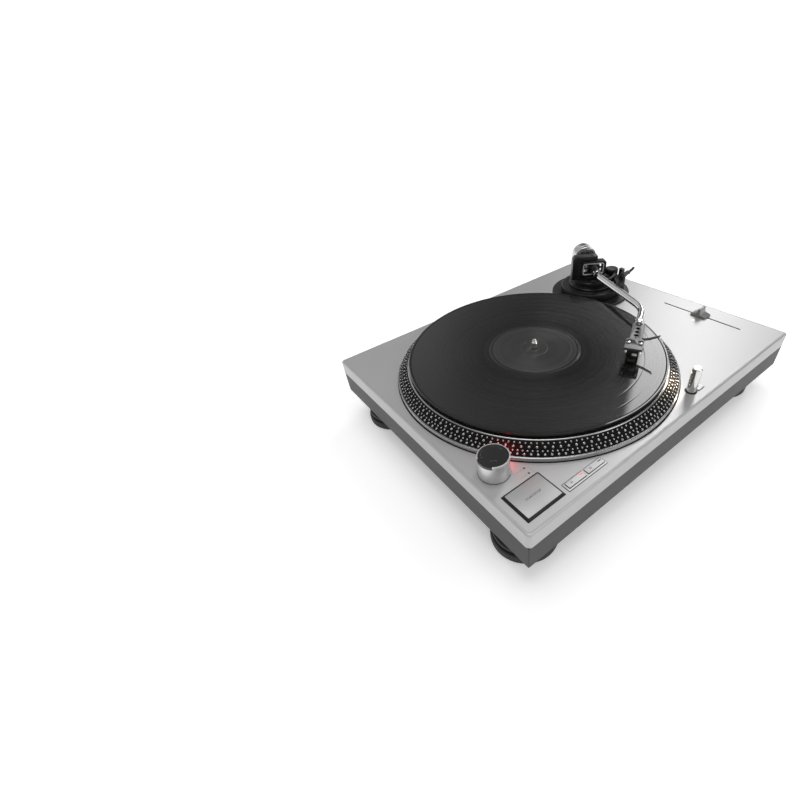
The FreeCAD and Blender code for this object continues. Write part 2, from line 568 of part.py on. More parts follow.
b = body("pitch_fader_body", c.pitch_x, c.pitch_y)
pad_z(b, T - 13.5, T - c.plate_thick - 0.1, [box_at(0, 0, 20, 122)])
cut_z(b, T - 11.5, T, [box_at(0, 0, 3.2, c.slot_len + 2)])

b = body("pitch_knob", c.pitch_x, c.pitch_y)
prof = [(-c.pitch_d / 2, T + 0.4), (c.pitch_d / 2, T + 0.4), (c.pitch_d / 2, T + 2.1), (3.4, T + 4.2), (2.0, T + 6), (1.7, T + c.fin_h - 0.5), (1.2, T + c.fin_h),
        (-1.2, T + c.fin_h), (-1.7, T + c.fin_h - 0.5), (-2.0, T + 6), (-3.4, T + 4.2), (-c.pitch_d / 2, T + 2.1)]
pad_x(b, -c.pitch_w / 2, c.pitch_w / 2, [prof])
pad_z(b, T - 9.5, T + 0.6, [box_at(0, 0, 1.4, 6)])

# ------------------------------------------------------------------ inside and rear
b = body("main_board")
pad_z(b, 56, 57.6, [rect(-204, -164, -56, -96)])
for x0, y0, x1, y1, h_ in ((-150, -150, -128, -128, 3), (-110, -146, -96, -116, 2.5), (-186, -150, -170, -122, 9), (-88, -150, -72, -110, 9)):
    pad_z(b, 57.6, 57.6 + h_, [rect(x0, y0, x1, y1)])
# its four spacers, and the rotary switch under the power knob with a bore for the knob's shaft
pad_z(b, c.base_z + c.floor_thick, 56.5, (), [(-196, -156, 4), (-64, -156, 4), (-184, -110, 4), (-64, -104, 4)])
pad_z(b, 57.6, T - c.plate_thick - c.panel_thick - 0.1, [box_at(c.knob_x + 1.8, c.knob_y, 15, 15)])
pad_z(b, 70, T - 5, (), [(c.knob_x, c.knob_y, 5.5)])
cut_z(b, 66, T, (), [(c.knob_x, c.knob_y, c.knob_shaft_r + c.slip)])

b = body("power_supply")
pad_z(b, 41, 43.5, [rect(-174, 94, -88, 155)])
pad_z(b, 43.5, 64, [rect(-170, 103, -126, 147)])
pad_z(b, 43.5, 58, [rect(-158, 96, -138, 153)])
pad_z(b, 43.5, 60, (), [(-106, 108, 6), (-106, 128, 6)])
fillet(b, 2, lambda e, bb: vertical(e, bb) and bb.ZMax > 63)

jacks = []
for i, x in enumerate((72, 90)):
    s_ = doc.addObject("PartDesign::Body", "jack_%d" % i)
    # turned about the jack's own Z axis, which points out of the back of the case
    s_.Placement = FreeCAD.Placement(V(x, LD.value - 16, 53), FreeCAD.Rotation(V(1, 0, 0), -90))
    revolve(s_, [(0, -9), (1.5, -9), (1.5, -4), (4, -4), (4, 1), (5.6, 1), (5.6, 2.4), (4.15, 2.4), (4.15, 11.2), (3.9, 11.5), (3.3, 11.5), (3.3, 10.4), (1.7, 10.4), (1.7, 3), (0, 3)])
    jacks.append(s_)
group("rca_jacks", jacks)

b = body("ground_post")
b.Placement = FreeCAD.Placement(V(116, LD.value - 16, 53), FreeCAD.Rotation(V(1, 0, 0), -90))
revolve(b, [(0, -6), (2, -6), (2, 1), (4.6, 1), (4.6, 2), (2.2, 2.2), (2.2, 3.4), (5, 3.6), (5, 9.6), (4.4, 10.2), (2.2, 10.2), (2.2, 11.4), (0, 11.4)])

b = body("mains_inlet")
pad_y(b, LD - 16, LD, [rect(-160.9, 45.1, -139.1, 58.9)])
pad_y(b, LD, LD + 0.45, [rect(-162.5, 43.5, -137.5, 60.5)])
cut_y(b, LD - 13.5, LD + 1, [rect(-158, 47.6, -142, 56.4)])
fillet(b, 3.2, lambda e, bb: bb.YLength > 13 and bb.XLength < 1e-6 and bb.ZLength < 1e-6 and bb.XMin > -158.5 and bb.XMax < -141.5)
pad_y(b, LD - 13.7, LD - 2.2, (), [(-154.3, 52, 1.2), (-145.7, 52, 1.2)])

# ------------------------------------------------------------------ arm base
PX, PY = c.pivot_x, c.pivot_y
b = body("arm_base_plate", PX, PY)
revolve(b, [(c.column_r + c.slip, 60), (28, 60), (28, T + c.ring_top - 0.6), (c.column_r + c.slip, T + c.ring_top - 0.6)])
pad_z(b, T, T + c.base_h, (), [(0, 0, c.base_r)])
fillet(b, 1.1, lambda e, bb: at_z(T + c.base_h)(e, bb) and bb.XLength > 100)
cut_z(b, T - 1, T + c.base_h + 1, (), [(SX - PX, SY - PY, c.well_r + 0.6)])
cut_z(b, T - 1, T + c.ring_top, (), [(0, 0, c.column_r + c.slip)])

b = body("height_ring", PX, PY)
revolve(b, [(28.3, T + c.base_h + 0.3), (c.ring_r - 0.6, T + c.base_h + 0.3), (c.ring_r, T + c.base_h + 0.9), (c.ring_r, T + c.ring_top - 1), (c.ring_r - 1, T + c.ring_top), (28.3, T + c.ring_top)])

b = body("arm_platform", PX, PY)
revolve(b, [(5, 64), (c.column_r, 64), (c.column_r, T + c.ring_top + 0.4), (c.step_r, T + c.ring_top + 0.4), (c.step_r, T + c.step_top - 0.6), (c.step_r - 0.6, T + c.step_top), (c.table_r, T + c.step_top), (c.table_r, T + c.table_top - 0.6), (c.table_r - 0.6, T + c.table_top),
            (5, T + c.table_top)])
# a side bracket carries the anti-skating dial and the lift
pad_z(b, T + 18.5, T + c.table_top, [[(8, 4), (30, -6), (36, -16), (36, -37), (24, -37), (12, -22), (2, -20)]])
cut_z(b, T + 15, T + c.table_top + 1, (), [(c.skate_x, c.skate_y, 2.05)])
fillet(b, 4, lambda e, bb: vertical(e, bb) and bb.XMin > 29 and bb.ZLength < 4)

YOKE = (PX, PY, T, c.yoke_turn)
b = body("gimbal_yoke", *YOKE)
yk = [(-31, 22), (8, 22), (8, 24.5), (-20.6, 24.5), (-20.6, 50), (5, 50), (5, c.yoke_top), (-28, c.yoke_top), (-31, c.yoke_top - 4)]
pad_x(b, -6, 6, [yk])
fillet(b, 2.4, lambda e, bb: bb.XLength > 10 and bb.YMax < -19 and bb.ZMin < 51 and bb.ZMin > 24 and bb.YMin > -21)
cut_z(b, 21, 57, (), [(0, 0, 3.02)])

pivots = []
for tag, pts in (("top", [(0, 47), (c.pivot_pin, 47), (c.pivot_pin, 49.4), (3, 50.4), (3, c.yoke_top + 0.5), (2.4, c.yoke_top + 1.1), (0, c.yoke_top + 1.1)]),
                 ("low", [(0, 22), (3, 22), (3, 24), (c.pivot_pin, 24.8), (c.pivot_pin, 27), (0, 27)])):
    s_ = doc.addObject("PartDesign::Body", "pivot_" + tag)
    place(s_, *YOKE)
    revolve(s_, pts)
    pivots.append(s_)
group("yoke_pivot_screws", pivots)

ARM = (PX, PY, T + c.arm_z, c.arm_turn)
A0 = c.arm_z  # heights of the gimbal ring from the arm's axis
b = body("gimbal_ring", *ARM)
lo, hi = c.ring_low - A0, c.ring_high - A0
pad_x(b, -c.bar_half, c.bar_half, [rect(-c.ring_half, lo, c.ring_half, hi), rect(4.6 - c.ring_half, lo + 4.4, c.ring_half - 4.6, hi - 4.4)])
fillet(b, 4.5, lambda e, bb: bb.XLength > 8 and abs(bb.YMin) > 18.5)
fillet(b, 1.6, lambda e, bb: bb.XLength > 8 and abs(bb.YMin) < 15 and abs(bb.YMin) > 13)
cut_z(b, hi - 2, hi + 1, (), [(0, 0, c.pivot_pin + c.slip)])
cut_z(b, lo - 1, lo + 2, (), [(0, 0, c.pivot_pin + c.slip)])
cut_y(b, -30, 30, (), [(0, 0, c.pivot_pin + c.slip)])

pins = []
for k in (1, -1):
    s_ = doc.addObject("PartDesign::Body", "ring_pin_%s" % ("left" if k < 0 else "right"))
    place(s_, *ARM)
    s = sketch(s_, "YZ_Plane", [[(k * 7.2, 0), (k * 7.2, c.pivot_pin), (k * 19.1, c.pivot_pin), (k * 19.1, 2.4), (k * 19.6, 2.4), (k * 19.9, 2), (k * 19.9, 0)]])
    f = s_.newObject("PartDesign::Revolution", "turned")
    f.Profile = s
    f.ReferenceAxis = (s, ["H_Axis"])
    f.Angle = 360
    pins.append(s_)
group("ring_pivot_screws", pins)

b = body("arm_sleeve", *ARM)
revolve_x(b, [(-c.rear_end, 0), (-c.rear_end, c.rear_r - 0.6), (0.6 - c.rear_end, c.rear_r), (-15, c.rear_r), (-14.5, c.sleeve_r), (12, c.sleeve_r), (c.sleeve_end - 1, c.tube_r + 1), (c.sleeve_end, c.tube_r + 0.6), (c.sleeve_end, c.tube_r + 0.02), (c.sleeve_end - 12, c.tube_r + 0.02), (c.sleeve_end - 12, 0)])
pad_z(b, -5.4, 5.4, [rect(-5.5, -9.3, 5.5, 9.3)])
cut_y(b, 6.8, 10, (), [(0, 0, c.pivot_pin + c.slip)])
cut_y(b, -10, -6.8, (), [(0, 0, c.pivot_pin + c.slip)])

# the S-shaped tube: straight runs joined by tangent arcs, in the plane of the arm's axis
b = body("arm_tube", *ARM)
P0 = V(c.sleeve_end.value - 11.8, 0, 0)
P1 = V(c.bend1_x.value, 0, 0)
P2 = V(c.bend2_x.value, c.bend2_y.value, 0)
a3 = math.radians(c.shell_turn.value)
shell_dir = V(math.cos(a3), math.sin(a3), 0)
P3 = P2 + shell_dir * 35.2


def corner(p, q, r, radius):
    """Tangent arc at q between the runs p-q and q-r: start, middle, end."""
    u1, u2 = (q - p).normalize(), (r - q).normalize()
    turn = u1.getAngle(u2)
    t_ = radius * math.tan(turn / 2)
    s0, s1 = q - u1 * t_, q + u2 * t_
    bis = (u2 - u1).normalize()
    centre = q + bis * (radius / math.cos(turn / 2))
    mid = centre + (q - centre).normalize() * radius
    return s0, mid, s1


k1 = corner(P0, P1, P2, c.bend1_r.value)
k2 = corner(P1, P2, P3, c.bend2_r.value)
sp = b.newObject("Sketcher::SketchObject", "arm_path")
sp.AttachmentSupport = [(plane(b, "XY_Plane"), "")]
sp.MapMode = "FlatFace"
geo = [Part.LineSegment(P0, k1[0]), Part.Arc(*k1), Part.LineSegment(k1[2], k2[0]), Part.Arc(*k2), Part.LineSegment(k2[2], P3)]
for g_ in geo:
    sp.addGeometry(g_, False)
for i in range(5):
    sp.addConstraint(Sketcher.Constraint("Block", i))
pr = b.newObject("Sketcher::SketchObject", "arm_section")
pr.AttachmentSupport = [(plane(b, "YZ_Plane"), "")]
pr.MapMode = "FlatFace"
pr.AttachmentOffset = FreeCAD.Placement(V(0, 0, P0.x), FreeCAD.Rotation())
for i, r in enumerate((c.tube_r, c.tube_hole)):
    pr.addGeometry(Part.Circle(V(0, 0, 0), V(0, 0, 1), r.value), False)
    pr.addConstraint(Sketcher.Constraint("Coincident", i, 3, -1, 1))
    n = pr.addConstraint(Sketcher.Constraint("Radius", i, r.value))
    pr.renameConstraint(n, "r%d" % i)
    pr.setExpression("Constraints.r%d" % i, r.text)
pipe = b.newObject("PartDesign::AdditivePipe", "arm_sweep")
pipe.Profile = pr
pipe.Spine = (sp, [""])
doc.recompute()
length = sum(g_.length() for g_ in geo)
area = math.pi * (c.tube_r.value ** 2 - c.tube_hole.value ** 2)
print("arm tube: length %.2f, volume %.1f against %.1f; bend radii %.0f and %.0f" % (length, b.Shape.Volume, area * length, c.bend1_r.value, c.bend2_r.value))

b = body("counterweight_bush", *ARM)
revolve_x(b, [(-(c.weight_back - 1.5), c.rear_r + c.slip), (-(c.weight_back - 1.5), c.bush_r), (-(c.dial_front + 1), c.bush_r), (-(c.dial_front + 1), c.rear_r + c.slip)])

b = body("counterweight", *ARM)
WR = c.weight_r
revolve_x(b, [(-c.weight_back, c.bush_r + c.slip), (-c.weight_back, WR - 2.4), (1 - c.weight_back, WR - 1.2), (2 - c.weight_back, WR), (-(c.weight_front + 8), WR), (-(c.weight_front + 7.6), WR - 0.4), (-(c.weight_front + 7.2), WR - 0.4), (-(c.weight_front + 6.8), WR),
              (-(c.weight_front + 0.8), WR), (-c.weight_front, WR - 0.8), (-c.weight_front, 12.6), (-(c.dial_front + 2), 12.6), (-(c.dial_front + 2), c.bush_r + c.slip)])

b = body("pressure_ring", *ARM)
DR = c.dial_r
revolve_x(b, [(-(c.weight_front - 0.3), 12.65), (-(c.weight_front - 0.3), DR + 0.6), (-(c.dial_front + 2), DR), (-(c.dial_front + 0.6), DR - 0.2), (-c.dial_front, DR - 0.9), (-c.dial_front, 9), (-(c.dial_front + 1.2), 9), (-(c.dial_front + 1.2), 12.65)])

# ------------------------------------------------------------------ headshell, in its own frame: X forward along the shell
SH = (c.shell_x, c.shell_y, T + c.arm_z, c.shell_angle)
b = body("headshell_collar", *SH)
revolve_x(b, [(-2, c.tube_r + c.slip), (-2, 5.2), (-1.4, 5.6), (1, 5.6), (1.6, 5.3), (9, 5.3), (9.6, 5.6), (11.4, 5.6), (12, 5.2), (12, c.tube_r + c.slip)])

b = body("headshell", *SH)
st, sb = c.shell_top, c.shell_top - c.shell_thick
nw, fw = c.neck_w / 2, c.front_w / 2
pad_z(b, sb, st, [[(c.neck_t, -nw), (c.ear_t - 2, -nw), (c.ear_t, -fw), (c.front_t, -fw), (c.front_t, fw), (c.ear_t, fw), (c.ear_t - 2, nw), (c.neck_t, nw)]])
# side flanges under the plate, then the plug behind it
pad_z(b, sb - 2.6, sb, [rect(c.neck_t, -nw, c.ear_t - 6, 1.4 - nw)])
pad_z(b, sb - 2.6, sb, [rect(c.neck_t, nw - 1.4, c.ear_t - 6, nw)])
revolve_x(b, [(3.2, 0), (3.2, c.tube_r - 0.3), (c.neck_t + 4, c.tube_r - 0.3), (c.neck_t + 4, 0)])
for x_, r_ in ((24, 2.6), (32, 2.6), (40, 2.6)):
    cut_z(b, -6, 6, (), [(x_, 0, r_)])
# two long slots for the cartridge screws
for k in (1, -1):
    y_ = k * c.screw_half
    cut_z(b, -6, 6, [rect(c.screw_t - 7, y_ - 1.4, c.screw_t + 2.4, y_ + 1.4)])
fillet(b, 0.5, lambda e, bb: at_z(st)(e, bb) and (bb.YMin < -nw.value + 0.01 or bb.YMax > nw.value - 0.01))

b = body("finger_lift", *SH)
# a flat bar clamped on the shell's side that rises to a rolled tip
pts = [(c.neck_w / 2 + 0.02, 0.4), (c.neck_w / 2 + 0.02, 2.4), (9.5, 2.5), (14, 3.7), (18.5, 6.0), (22.5, 7.6), (24.4, 9.4), (25.1, 8.8), (23.3, 6.6), (19, 4.7), (14.5, 2.3), (10, 1.0)]
pad_x(b, 42.6, 46, [pts])

b = body("cartridge", *SH)
zt = sb - 0.02
pad_z(b, zt - 3.4, zt, [rect(c.screw_t - 7, -8.7, c.screw_t + 5, 8.7)])
pad_z(b, zt - 11.8, zt - 3.4, [rect(c.screw_t - 9, -6.4, c.screw_t + 7.5, 6.4)])
pad_z(b, zt - 3.4, zt, [rect(c.screw_t - 9, -6.4, c.screw_t + 7.5, 6.4)])
cut_z(b, zt - 13, zt + 1, (), [(c.screw_t, c.screw_half, 1.35), (c.screw_t, -c.screw_half, 1.35)])
cut_z(b, zt - 12.5, zt - 3.4, [rect(c.screw_t - 2.4, 4, c.screw_t + 2.4, 9), rect(c.screw_t - 2.4, -9, c.screw_t + 2.4, -4)])
for y_, z_ in ((-3.2, -3.5), (-1.1, -7), (1.1, -3.5), (3.2, -7)):
    pad_x(b, c.screw_t - 13.5, c.screw_t - 9, (), [(y_, zt + z_, 0.55)])
chamfer(b, 2, lambda e, bb: bb.YLength > 12 and bb.XLength < 1e-6 and bb.ZLength < 1e-6 and abs(bb.XMin - 65) < 0.1 and bb.ZMin < -8)

b = body("stylus", *SH)
pad_y(b, -4, 4, [[(c.screw_t - 4, -15.1), (c.stylus_t + 1.6, -15.0), (c.stylus_t + 3.4, -12.2), (c.stylus_t + 3.0, -10.4), (c.stylus_t + 0.4, -11.9), (c.screw_t - 4, -11.9)]])
pad_y(b, -0.45, 0.45, [[(c.stylus_t - 1.6, -14.8), (c.stylus_t - 0.3, -16.0), (c.stylus_t + 0.3, -16.0), (c.stylus_t + 0.4, -15.6), (c.stylus_t - 0.8, -14.5)]])

cs = []
for k in (1, -1):
    s_ = doc.addObject("PartDesign::Body", "cart_screw_%s" % ("a" if k > 0 else "b"))
    place(s_, *SH)
    # the screw's axis is moved to its slot with a turned profile in the XZ plane of a shifted sketch
    s_.Placement = s_.Placement.multiply(FreeCAD.Placement(V(c.screw_t.value, k * c.screw_half.value, 0), FreeCAD.Rotation()))
    for prop in ("Placement.Base.x", "Placement.Base.y"):
        s_.setExpression(prop, None)
    revolve(s_, [(0, zt - 5.6), (2.1, zt - 5.6), (2.1, zt - 3.45), (1.25, zt - 3.45), (1.25, st + 0.02), (2.3, st + 0.02), (2.3, st + 0.9), (1.8, st + 1.6), (0, st + 1.7)])
    cs.append(s_)
group("cartridge_screws", cs)

# ------------------------------------------------------------------ side controls
b = body("anti_skate_dial", PX + c.skate_x, PY + c.skate_y, T)
revolve(b, [(0, 19), (2, 19), (2, c.skate_low - 2), (5, c.skate_low - 2), (5, c.skate_low), (c.skate_r - 0.4, c.skate_low), (c.skate_r, c.skate_low + 0.5), (c.skate_r, c.skate_top - 1.2), (c.skate_r - 0.8, c.skate_top - 0.4), (c.skate_r - 1.6, c.skate_top), (0, c.skate_top)])

b = body("cue_lift_housing", PX, PY, T)
pw = c.post_w / 2
qx, qy = c.post_x, c.post_y
pad_z(b, c.table_top, c.post_top, [rect(qx - pw, qy - pw, qx + pw, qy + pw)])
fillet(b, 1.2, vertical)
# a low bridge carries the guide of the lift's rod and the arm rest
gx, gy = c.guide_x, c.guide_y
pad_z(b, c.table_top, c.table_top + 4.5, [[(qx - pw + 0.5, qy - pw + 0.5), (qx - pw + 0.5, qy + 3), (gx + 3, gy + 4), (gx - 4, gy + 3.5), (gx - 5, gy - 3), (c.rest_x + 7, c.rest_y + 6), (c.rest_x - 6, c.rest_y + 6), (c.rest_x - 6, c.rest_y - 5), (c.rest_x + 8, c.rest_y - 5), (qx - 7, qy - pw - 4)]])
cut_z(b, c.table_top - 1, c.table_top + 6, (), [(gx, gy, 1.45)])
cut_y(b, qy - pw - 1, qy - 1.7, (), [(qx, c.lift_z, 1.05)])

b = body("cue_lever", PX + qx, PY + qy, T + c.lift_z)
# a shaft in the housing's front and a lever to the right
pad_y(b, -(pw + 3), -2, (), [(0, 0, 1)])
pad_y(b, -(pw + 3.4), -(pw + 0.4), (), [(0, 0, 2.7)])
lv = [(1.6, -1.6), (19.0, 3.6), (21.6, 5.0), (22.8, 6.6), (21.9, 7.8), (20.2, 7.2), (18.4, 6.0), (0.9, 2.2)]
pad_y(b, -(pw + 3.4), -(pw + 0.4), [lv])

b = body("lift_bar", PX, PY, T)
LR = c.lift_r.value
sk = b.newObject("Sketcher::SketchObject", "lift_arc")
sk.AttachmentSupport = [(plane(b, "XY_Plane"), "")]
sk.MapMode = "FlatFace"
sk.AttachmentOffset = FreeCAD.Placement(V(0, 0, 28.4), FreeCAD.Rotation())
ang = [math.radians(v_) for v_ in (-142, -99, -56)]


def on(r_, a_):
    return V(r_ * math.cos(a_), r_ * math.sin(a_), 0)


for g_ in (Part.Arc(on(LR - 1.7, ang[0]), on(LR - 1.7, ang[1]), on(LR - 1.7, ang[2])), Part.LineSegment(on(LR - 1.7, ang[2]), on(LR + 1.7, ang[2])),
           Part.Arc(on(LR + 1.7, ang[2]), on(LR + 1.7, ang[1]), on(LR + 1.7, ang[0])), Part.LineSegment(on(LR + 1.7, ang[0]), on(LR - 1.7, ang[0]))):
    sk.addGeometry(g_, False)
for i in range(4):
    sk.addConstraint(Sketcher.Constraint("Block", i))
pad(b, sk, 2.8)
pad_z(b, 22.4, 29.4, (), [(gx, gy, 1.4)])

b = body("arm_rest", PX + c.rest_x, PY + c.rest_y, T, c.rest_turn)
# its X axis runs along the parked tube and its Y axis points away from the record
zc = c.arm_z
prof = [(-6, 26.5), (9.2, 26.5), (9.2, 44.4), (8.2, 45.4), (6.4, 45.4), (5.2, 44.2), (5.2, 35.4), (3.4, 33.2), (0, 32.1), (-3.6, 32.1), (-5, 31.5), (-6, 30.6)]
pad_x(b, -3.5, 3.5, [prof])
cut_y(b, 4, 12, [rect(-1.8, 41.2, 1.8, 47)])
cut_x(b, -5, 5, (), [(7.4, c.clip_z, 1.05)])

b = body("arm_rest_clip", PX + c.rest_x, PY + c.rest_y, T, c.rest_turn)
# open: it points away from the record, a little above level
pad_x(b, -3.4, 3.4, (), [(7.4, c.clip_z, 1)])
cl = [(7.4, c.clip_z - 1.5), (9.4, c.clip_z - 1.1), (17.5, c.clip_z + 0.6), (20.0, c.clip_z - 2.6), (21.3, c.clip_z - 2.0), (19.3, c.clip_z + 2.6), (17.9, c.clip_z + 2.9), (8.4, c.clip_z + 1.5), (6.6, c.clip_z + 1.3), (6.0, c.clip_z)]
pad_x(b, -1.5, 1.5, [cl])

# ------------------------------------------------------------------ checks and files
doc.recompute()
bad = []
for o in doc.Objects:
    if any(w in o.State for w in ("Invalid", "Error")):
        bad.append("%s %s" % (o.Name, o.State))
names = [n.Label for n in NODES]
if len(set(names)) != len(names):
    bad.append("a name is used twice")
for n in NODES:
    if n.Shape.isNull() or not n.Shape.isValid() or not n.Shape.Solids or n.Shape.Volume <= 0:
        bad.append("%s has no valid solid" % n.Label)
if bad:
    raise RuntimeError("; ".join(bad))
os.makedirs("parts", exist_ok=True)
for n in NODES:
    n.Shape.exportStep("parts/%s.step" % n.Label)
print(len(NODES), "nodes written")
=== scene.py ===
import math
import random

import bmesh
import bpy
from mathutils import Matrix, Vector, noise


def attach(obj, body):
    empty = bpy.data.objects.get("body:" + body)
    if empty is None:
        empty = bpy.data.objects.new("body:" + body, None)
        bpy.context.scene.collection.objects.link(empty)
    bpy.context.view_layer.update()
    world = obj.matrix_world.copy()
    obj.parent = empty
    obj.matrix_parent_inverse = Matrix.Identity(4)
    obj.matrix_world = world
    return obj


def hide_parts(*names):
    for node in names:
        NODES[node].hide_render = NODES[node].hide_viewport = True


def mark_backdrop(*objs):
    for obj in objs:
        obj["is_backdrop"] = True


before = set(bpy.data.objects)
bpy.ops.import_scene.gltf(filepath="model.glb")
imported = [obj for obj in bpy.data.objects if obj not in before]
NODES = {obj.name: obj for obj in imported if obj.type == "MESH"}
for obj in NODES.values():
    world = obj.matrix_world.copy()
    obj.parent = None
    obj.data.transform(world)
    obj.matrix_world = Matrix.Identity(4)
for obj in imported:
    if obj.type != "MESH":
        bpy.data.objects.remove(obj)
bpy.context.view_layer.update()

MM = 0.001
T = 84.0                 # height of the top plate
SX, SY = -49.0, -1.5     # spindle
PX, PY = 150.3, 79.3     # arm pivot
AZ = T + 37.0            # height of the arm's axis
rnd = random.Random(7)
CEILING, PANEL, LEFT, WALL, FILL, FRONT = 3.5, 5.5, 0.26, 0.5, 0.26, 2.2   # brightness of the parts of the studio


# ---------------------------------------------------------------- meshes
def link(o):
    bpy.context.scene.collection.objects.link(o)
    return o


def finish_mesh(bm, name, sharp=32.0):
    bmesh.ops.remove_doubles(bm, verts=bm.verts, dist=1e-7)
    bmesh.ops.recalc_face_normals(bm, faces=bm.faces)
    me = bpy.data.meshes.new(name)
    bm.to_mesh(me)
    bm.free()
    me.polygons.foreach_set("use_smooth", [True] * len(me.polygons))
    me.set_sharp_from_angle(angle=math.radians(sharp))
    me.update()
    return link(bpy.data.objects.new(name, me))


def place(o, body, *replaced, material=None, slot=None):
    if material is not None:
        o.data.materials.clear()
        o.data.materials.append(material)
    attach(o, body)
    if replaced:
        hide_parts(*replaced)
    return o


def soften(pts, radius, n=3, closed=True, keep_axis=True):
    """Rounds the corners of a 2-D outline."""
    out = []
    m = len(pts)
    for i in range(m):
        p = Vector(pts[i][:2])
        if not closed and i in (0, m - 1):
            out.append(tuple(p))
            continue
        a, b = Vector(pts[i - 1][:2]), Vector(pts[(i + 1) % m][:2])
        r = pts[i][2] if len(pts[i]) > 2 else radius
        u, v = a - p, b - p
        if u.length < 1e-6 or v.length < 1e-6 or r <= 0 or (keep_axis and p.x < 1e-6):
            out.append(tuple(p))
            continue
        ang = u.angle(v)
        if ang > math.radians(172) or ang < math.radians(4):
            out.append(tuple(p))
            continue
        cut = min(r / math.tan(ang / 2), 0.45 * u.length, 0.45 * v.length)
        r2 = cut * math.tan(ang / 2)
        u.normalize(), v.normalize()
        s0, s1 = p + u * cut, p + v * cut
        c = p + (u + v).normalized() * (r2 / math.sin(ang / 2))
        a0, a1 = s0 - c, s1 - c
        turn = a0.angle_signed(a1) if a0.length > 1e-9 and a1.length > 1e-9 else 0
        for k in range(n + 1):
            t = -turn * k / n
            out.append((c.x + a0.x * math.cos(t) - a0.y * math.sin(t), c.y + a0.x * math.sin(t) + a0.y * math.cos(t)))
    return out


def frame_matrix(x=0, y=0, z=0, turn=0, pitch=None):
    m = Matrix.Translation(Vector((x, y, z))) @ Matrix.Rotation(math.radians(turn), 4, "Z")
    return m


def along(m):
    """Turns a shape made about Z so that its Z axis lies along the frame's X axis."""
    return m @ Matrix.Rotation(math.radians(90), 4, "Y")


def rear(m):
    return m @ Matrix.Rotation(math.radians(-90), 4, "Y")


def lathe(name, prof, m=None, segs=128, radius=0.25, n=3, sharp=32.0, arc=None, wobble=None):
    """A turned shape about Z. prof is a closed outline of (r, z[, corner radius]) in mm."""
    m = m or Matrix.Identity(4)
    pts = soften(prof, radius, n) if radius else [p[:2] for p in prof]
    bm = bmesh.new()
    rings = []
    full = arc is None
    a0, a1 = (0, 360) if full else arc
    count = segs if full else segs + 1
    for r, z in pts:
        ring = []
        if r < 1e-5:
            v = bm.verts.new((m @ Vector((0, 0, z))) * MM)
            ring = [v] * count
        else:
            for k in range(count):
                t = math.radians(a0 + (a1 - a0) * k / segs)
                rr = r + (wobble(t, r, z) if wobble else 0)
                ring.append(bm.verts.new((m @ Vector((rr * math.cos(t), rr * math.sin(t), z))) * MM))
        rings.append(ring)
    for i in range(len(rings)):
        a, b = rings[i], rings[(i + 1) % len(rings)]
        for k in range(segs):
            q = [a[k], a[(k + 1) % count], b[(k + 1) % count], b[k]]
            f = []
            for v in q:
                if v not in f:
                    f.append(v)
            if len(f) > 2:
                try:
                    bm.faces.new(f)
                except ValueError:
                    pass
    if not full:
        for k in (0, count - 1):
            try:
                bm.faces.new([r[k] for r in rings])
            except ValueError:
                pass
    return finish_mesh(bm, name, sharp)


def prism(name, pts, lo, hi, m=None, axis="z", bevel=0.3, seg=3, corner=0.0, sharp=32.0, bevel_angle=25.0):
    """An extruded outline with bevelled edges. axis says along which of the frame's axes it is extruded."""
    m = m or Matrix.Identity(4)
    if corner:
        pts = soften(pts, corner, 5, keep_axis=False)
    else:
        pts = [p[:2] for p in pts]

    def at(u, v, w):
        return {"z": Vector((u, v, w)), "x": Vector((w, u, v)), "y": Vector((u, w, v))}[axis]
    bm = bmesh.new()
    low = [bm.verts.new(m @ at(u, v, lo)) for u, v in pts]
    top = [bm.verts.new(m @ at(u, v, hi)) for u, v in pts]
    bm.faces.new(low)
    bm.faces.new(top)
    k = len(pts)
    for i in range(k):
        bm.faces.new([low[i], low[(i + 1) % k], top[(i + 1) % k], top[i]])
    bmesh.ops.recalc_face_normals(bm, faces=bm.faces)
    if bevel:
        es = [e for e in bm.edges if len(e.link_faces) == 2 and e.calc_face_angle(0) > math.radians(bevel_angle)]
        bmesh.ops.bevel(bm, geom=es, offset=bevel, offset_type="OFFSET", segments=seg, profile=0.5, affect="EDGES", clamp_overlap=True)
    bmesh.ops.scale(bm, vec=Vector((MM, MM, MM)), verts=bm.verts)
    return finish_mesh(bm, name, sharp)


def rect(x0, y0, x1, y1):
    return [(x0, y0), (x1, y0), (x1, y1), (x0, y1)]


def slab(name, x0, y0, x1, y1, z0, z1, m=None, bevel=0.3, corner=0.0, seg=3):
    return prism(name, rect(x0, y0, x1, y1), z0, z1, m, bevel=bevel, corner=corner, seg=seg)


def sweep(name, path, radii, m=None, segs=40, cap=True):
    """A round tube along a path of points, with a radius for each point."""
    m = m or Matrix.Identity(4)
    pts = [m @ Vector(p) for p in path]
    bm = bmesh.new()
    rings = []
    t0 = (pts[1] - pts[0]).normalized()
    up = Vector((0, 0, 1))
    if abs(t0.dot(up)) > 0.95:
        up = Vector((1, 0, 0))
    u = t0.cross(up).normalized()
    for i, p in enumerate(pts):
        t = (pts[min(i + 1, len(pts) - 1)] - pts[max(i - 1, 0)]).normalized()
        u = (u - t * u.dot(t)).normalized()
        w = t.cross(u)
        r = radii[i] if isinstance(radii, (list, tuple)) else radii
        rings.append([bm.verts.new((p + (u * math.cos(a) + w * math.sin(a)) * r) * MM) for a in (2 * math.pi * k / segs for k in range(segs))])
    for a, b in zip(rings, rings[1:]):
        for k in range(segs):
            bm.faces.new([a[k], a[(k + 1) % segs], b[(k + 1) % segs], b[k]])
    if cap:
        bm.faces.new(rings[0])
        bm.faces.new(rings[-1])
    return finish_mesh(bm, name, 40)


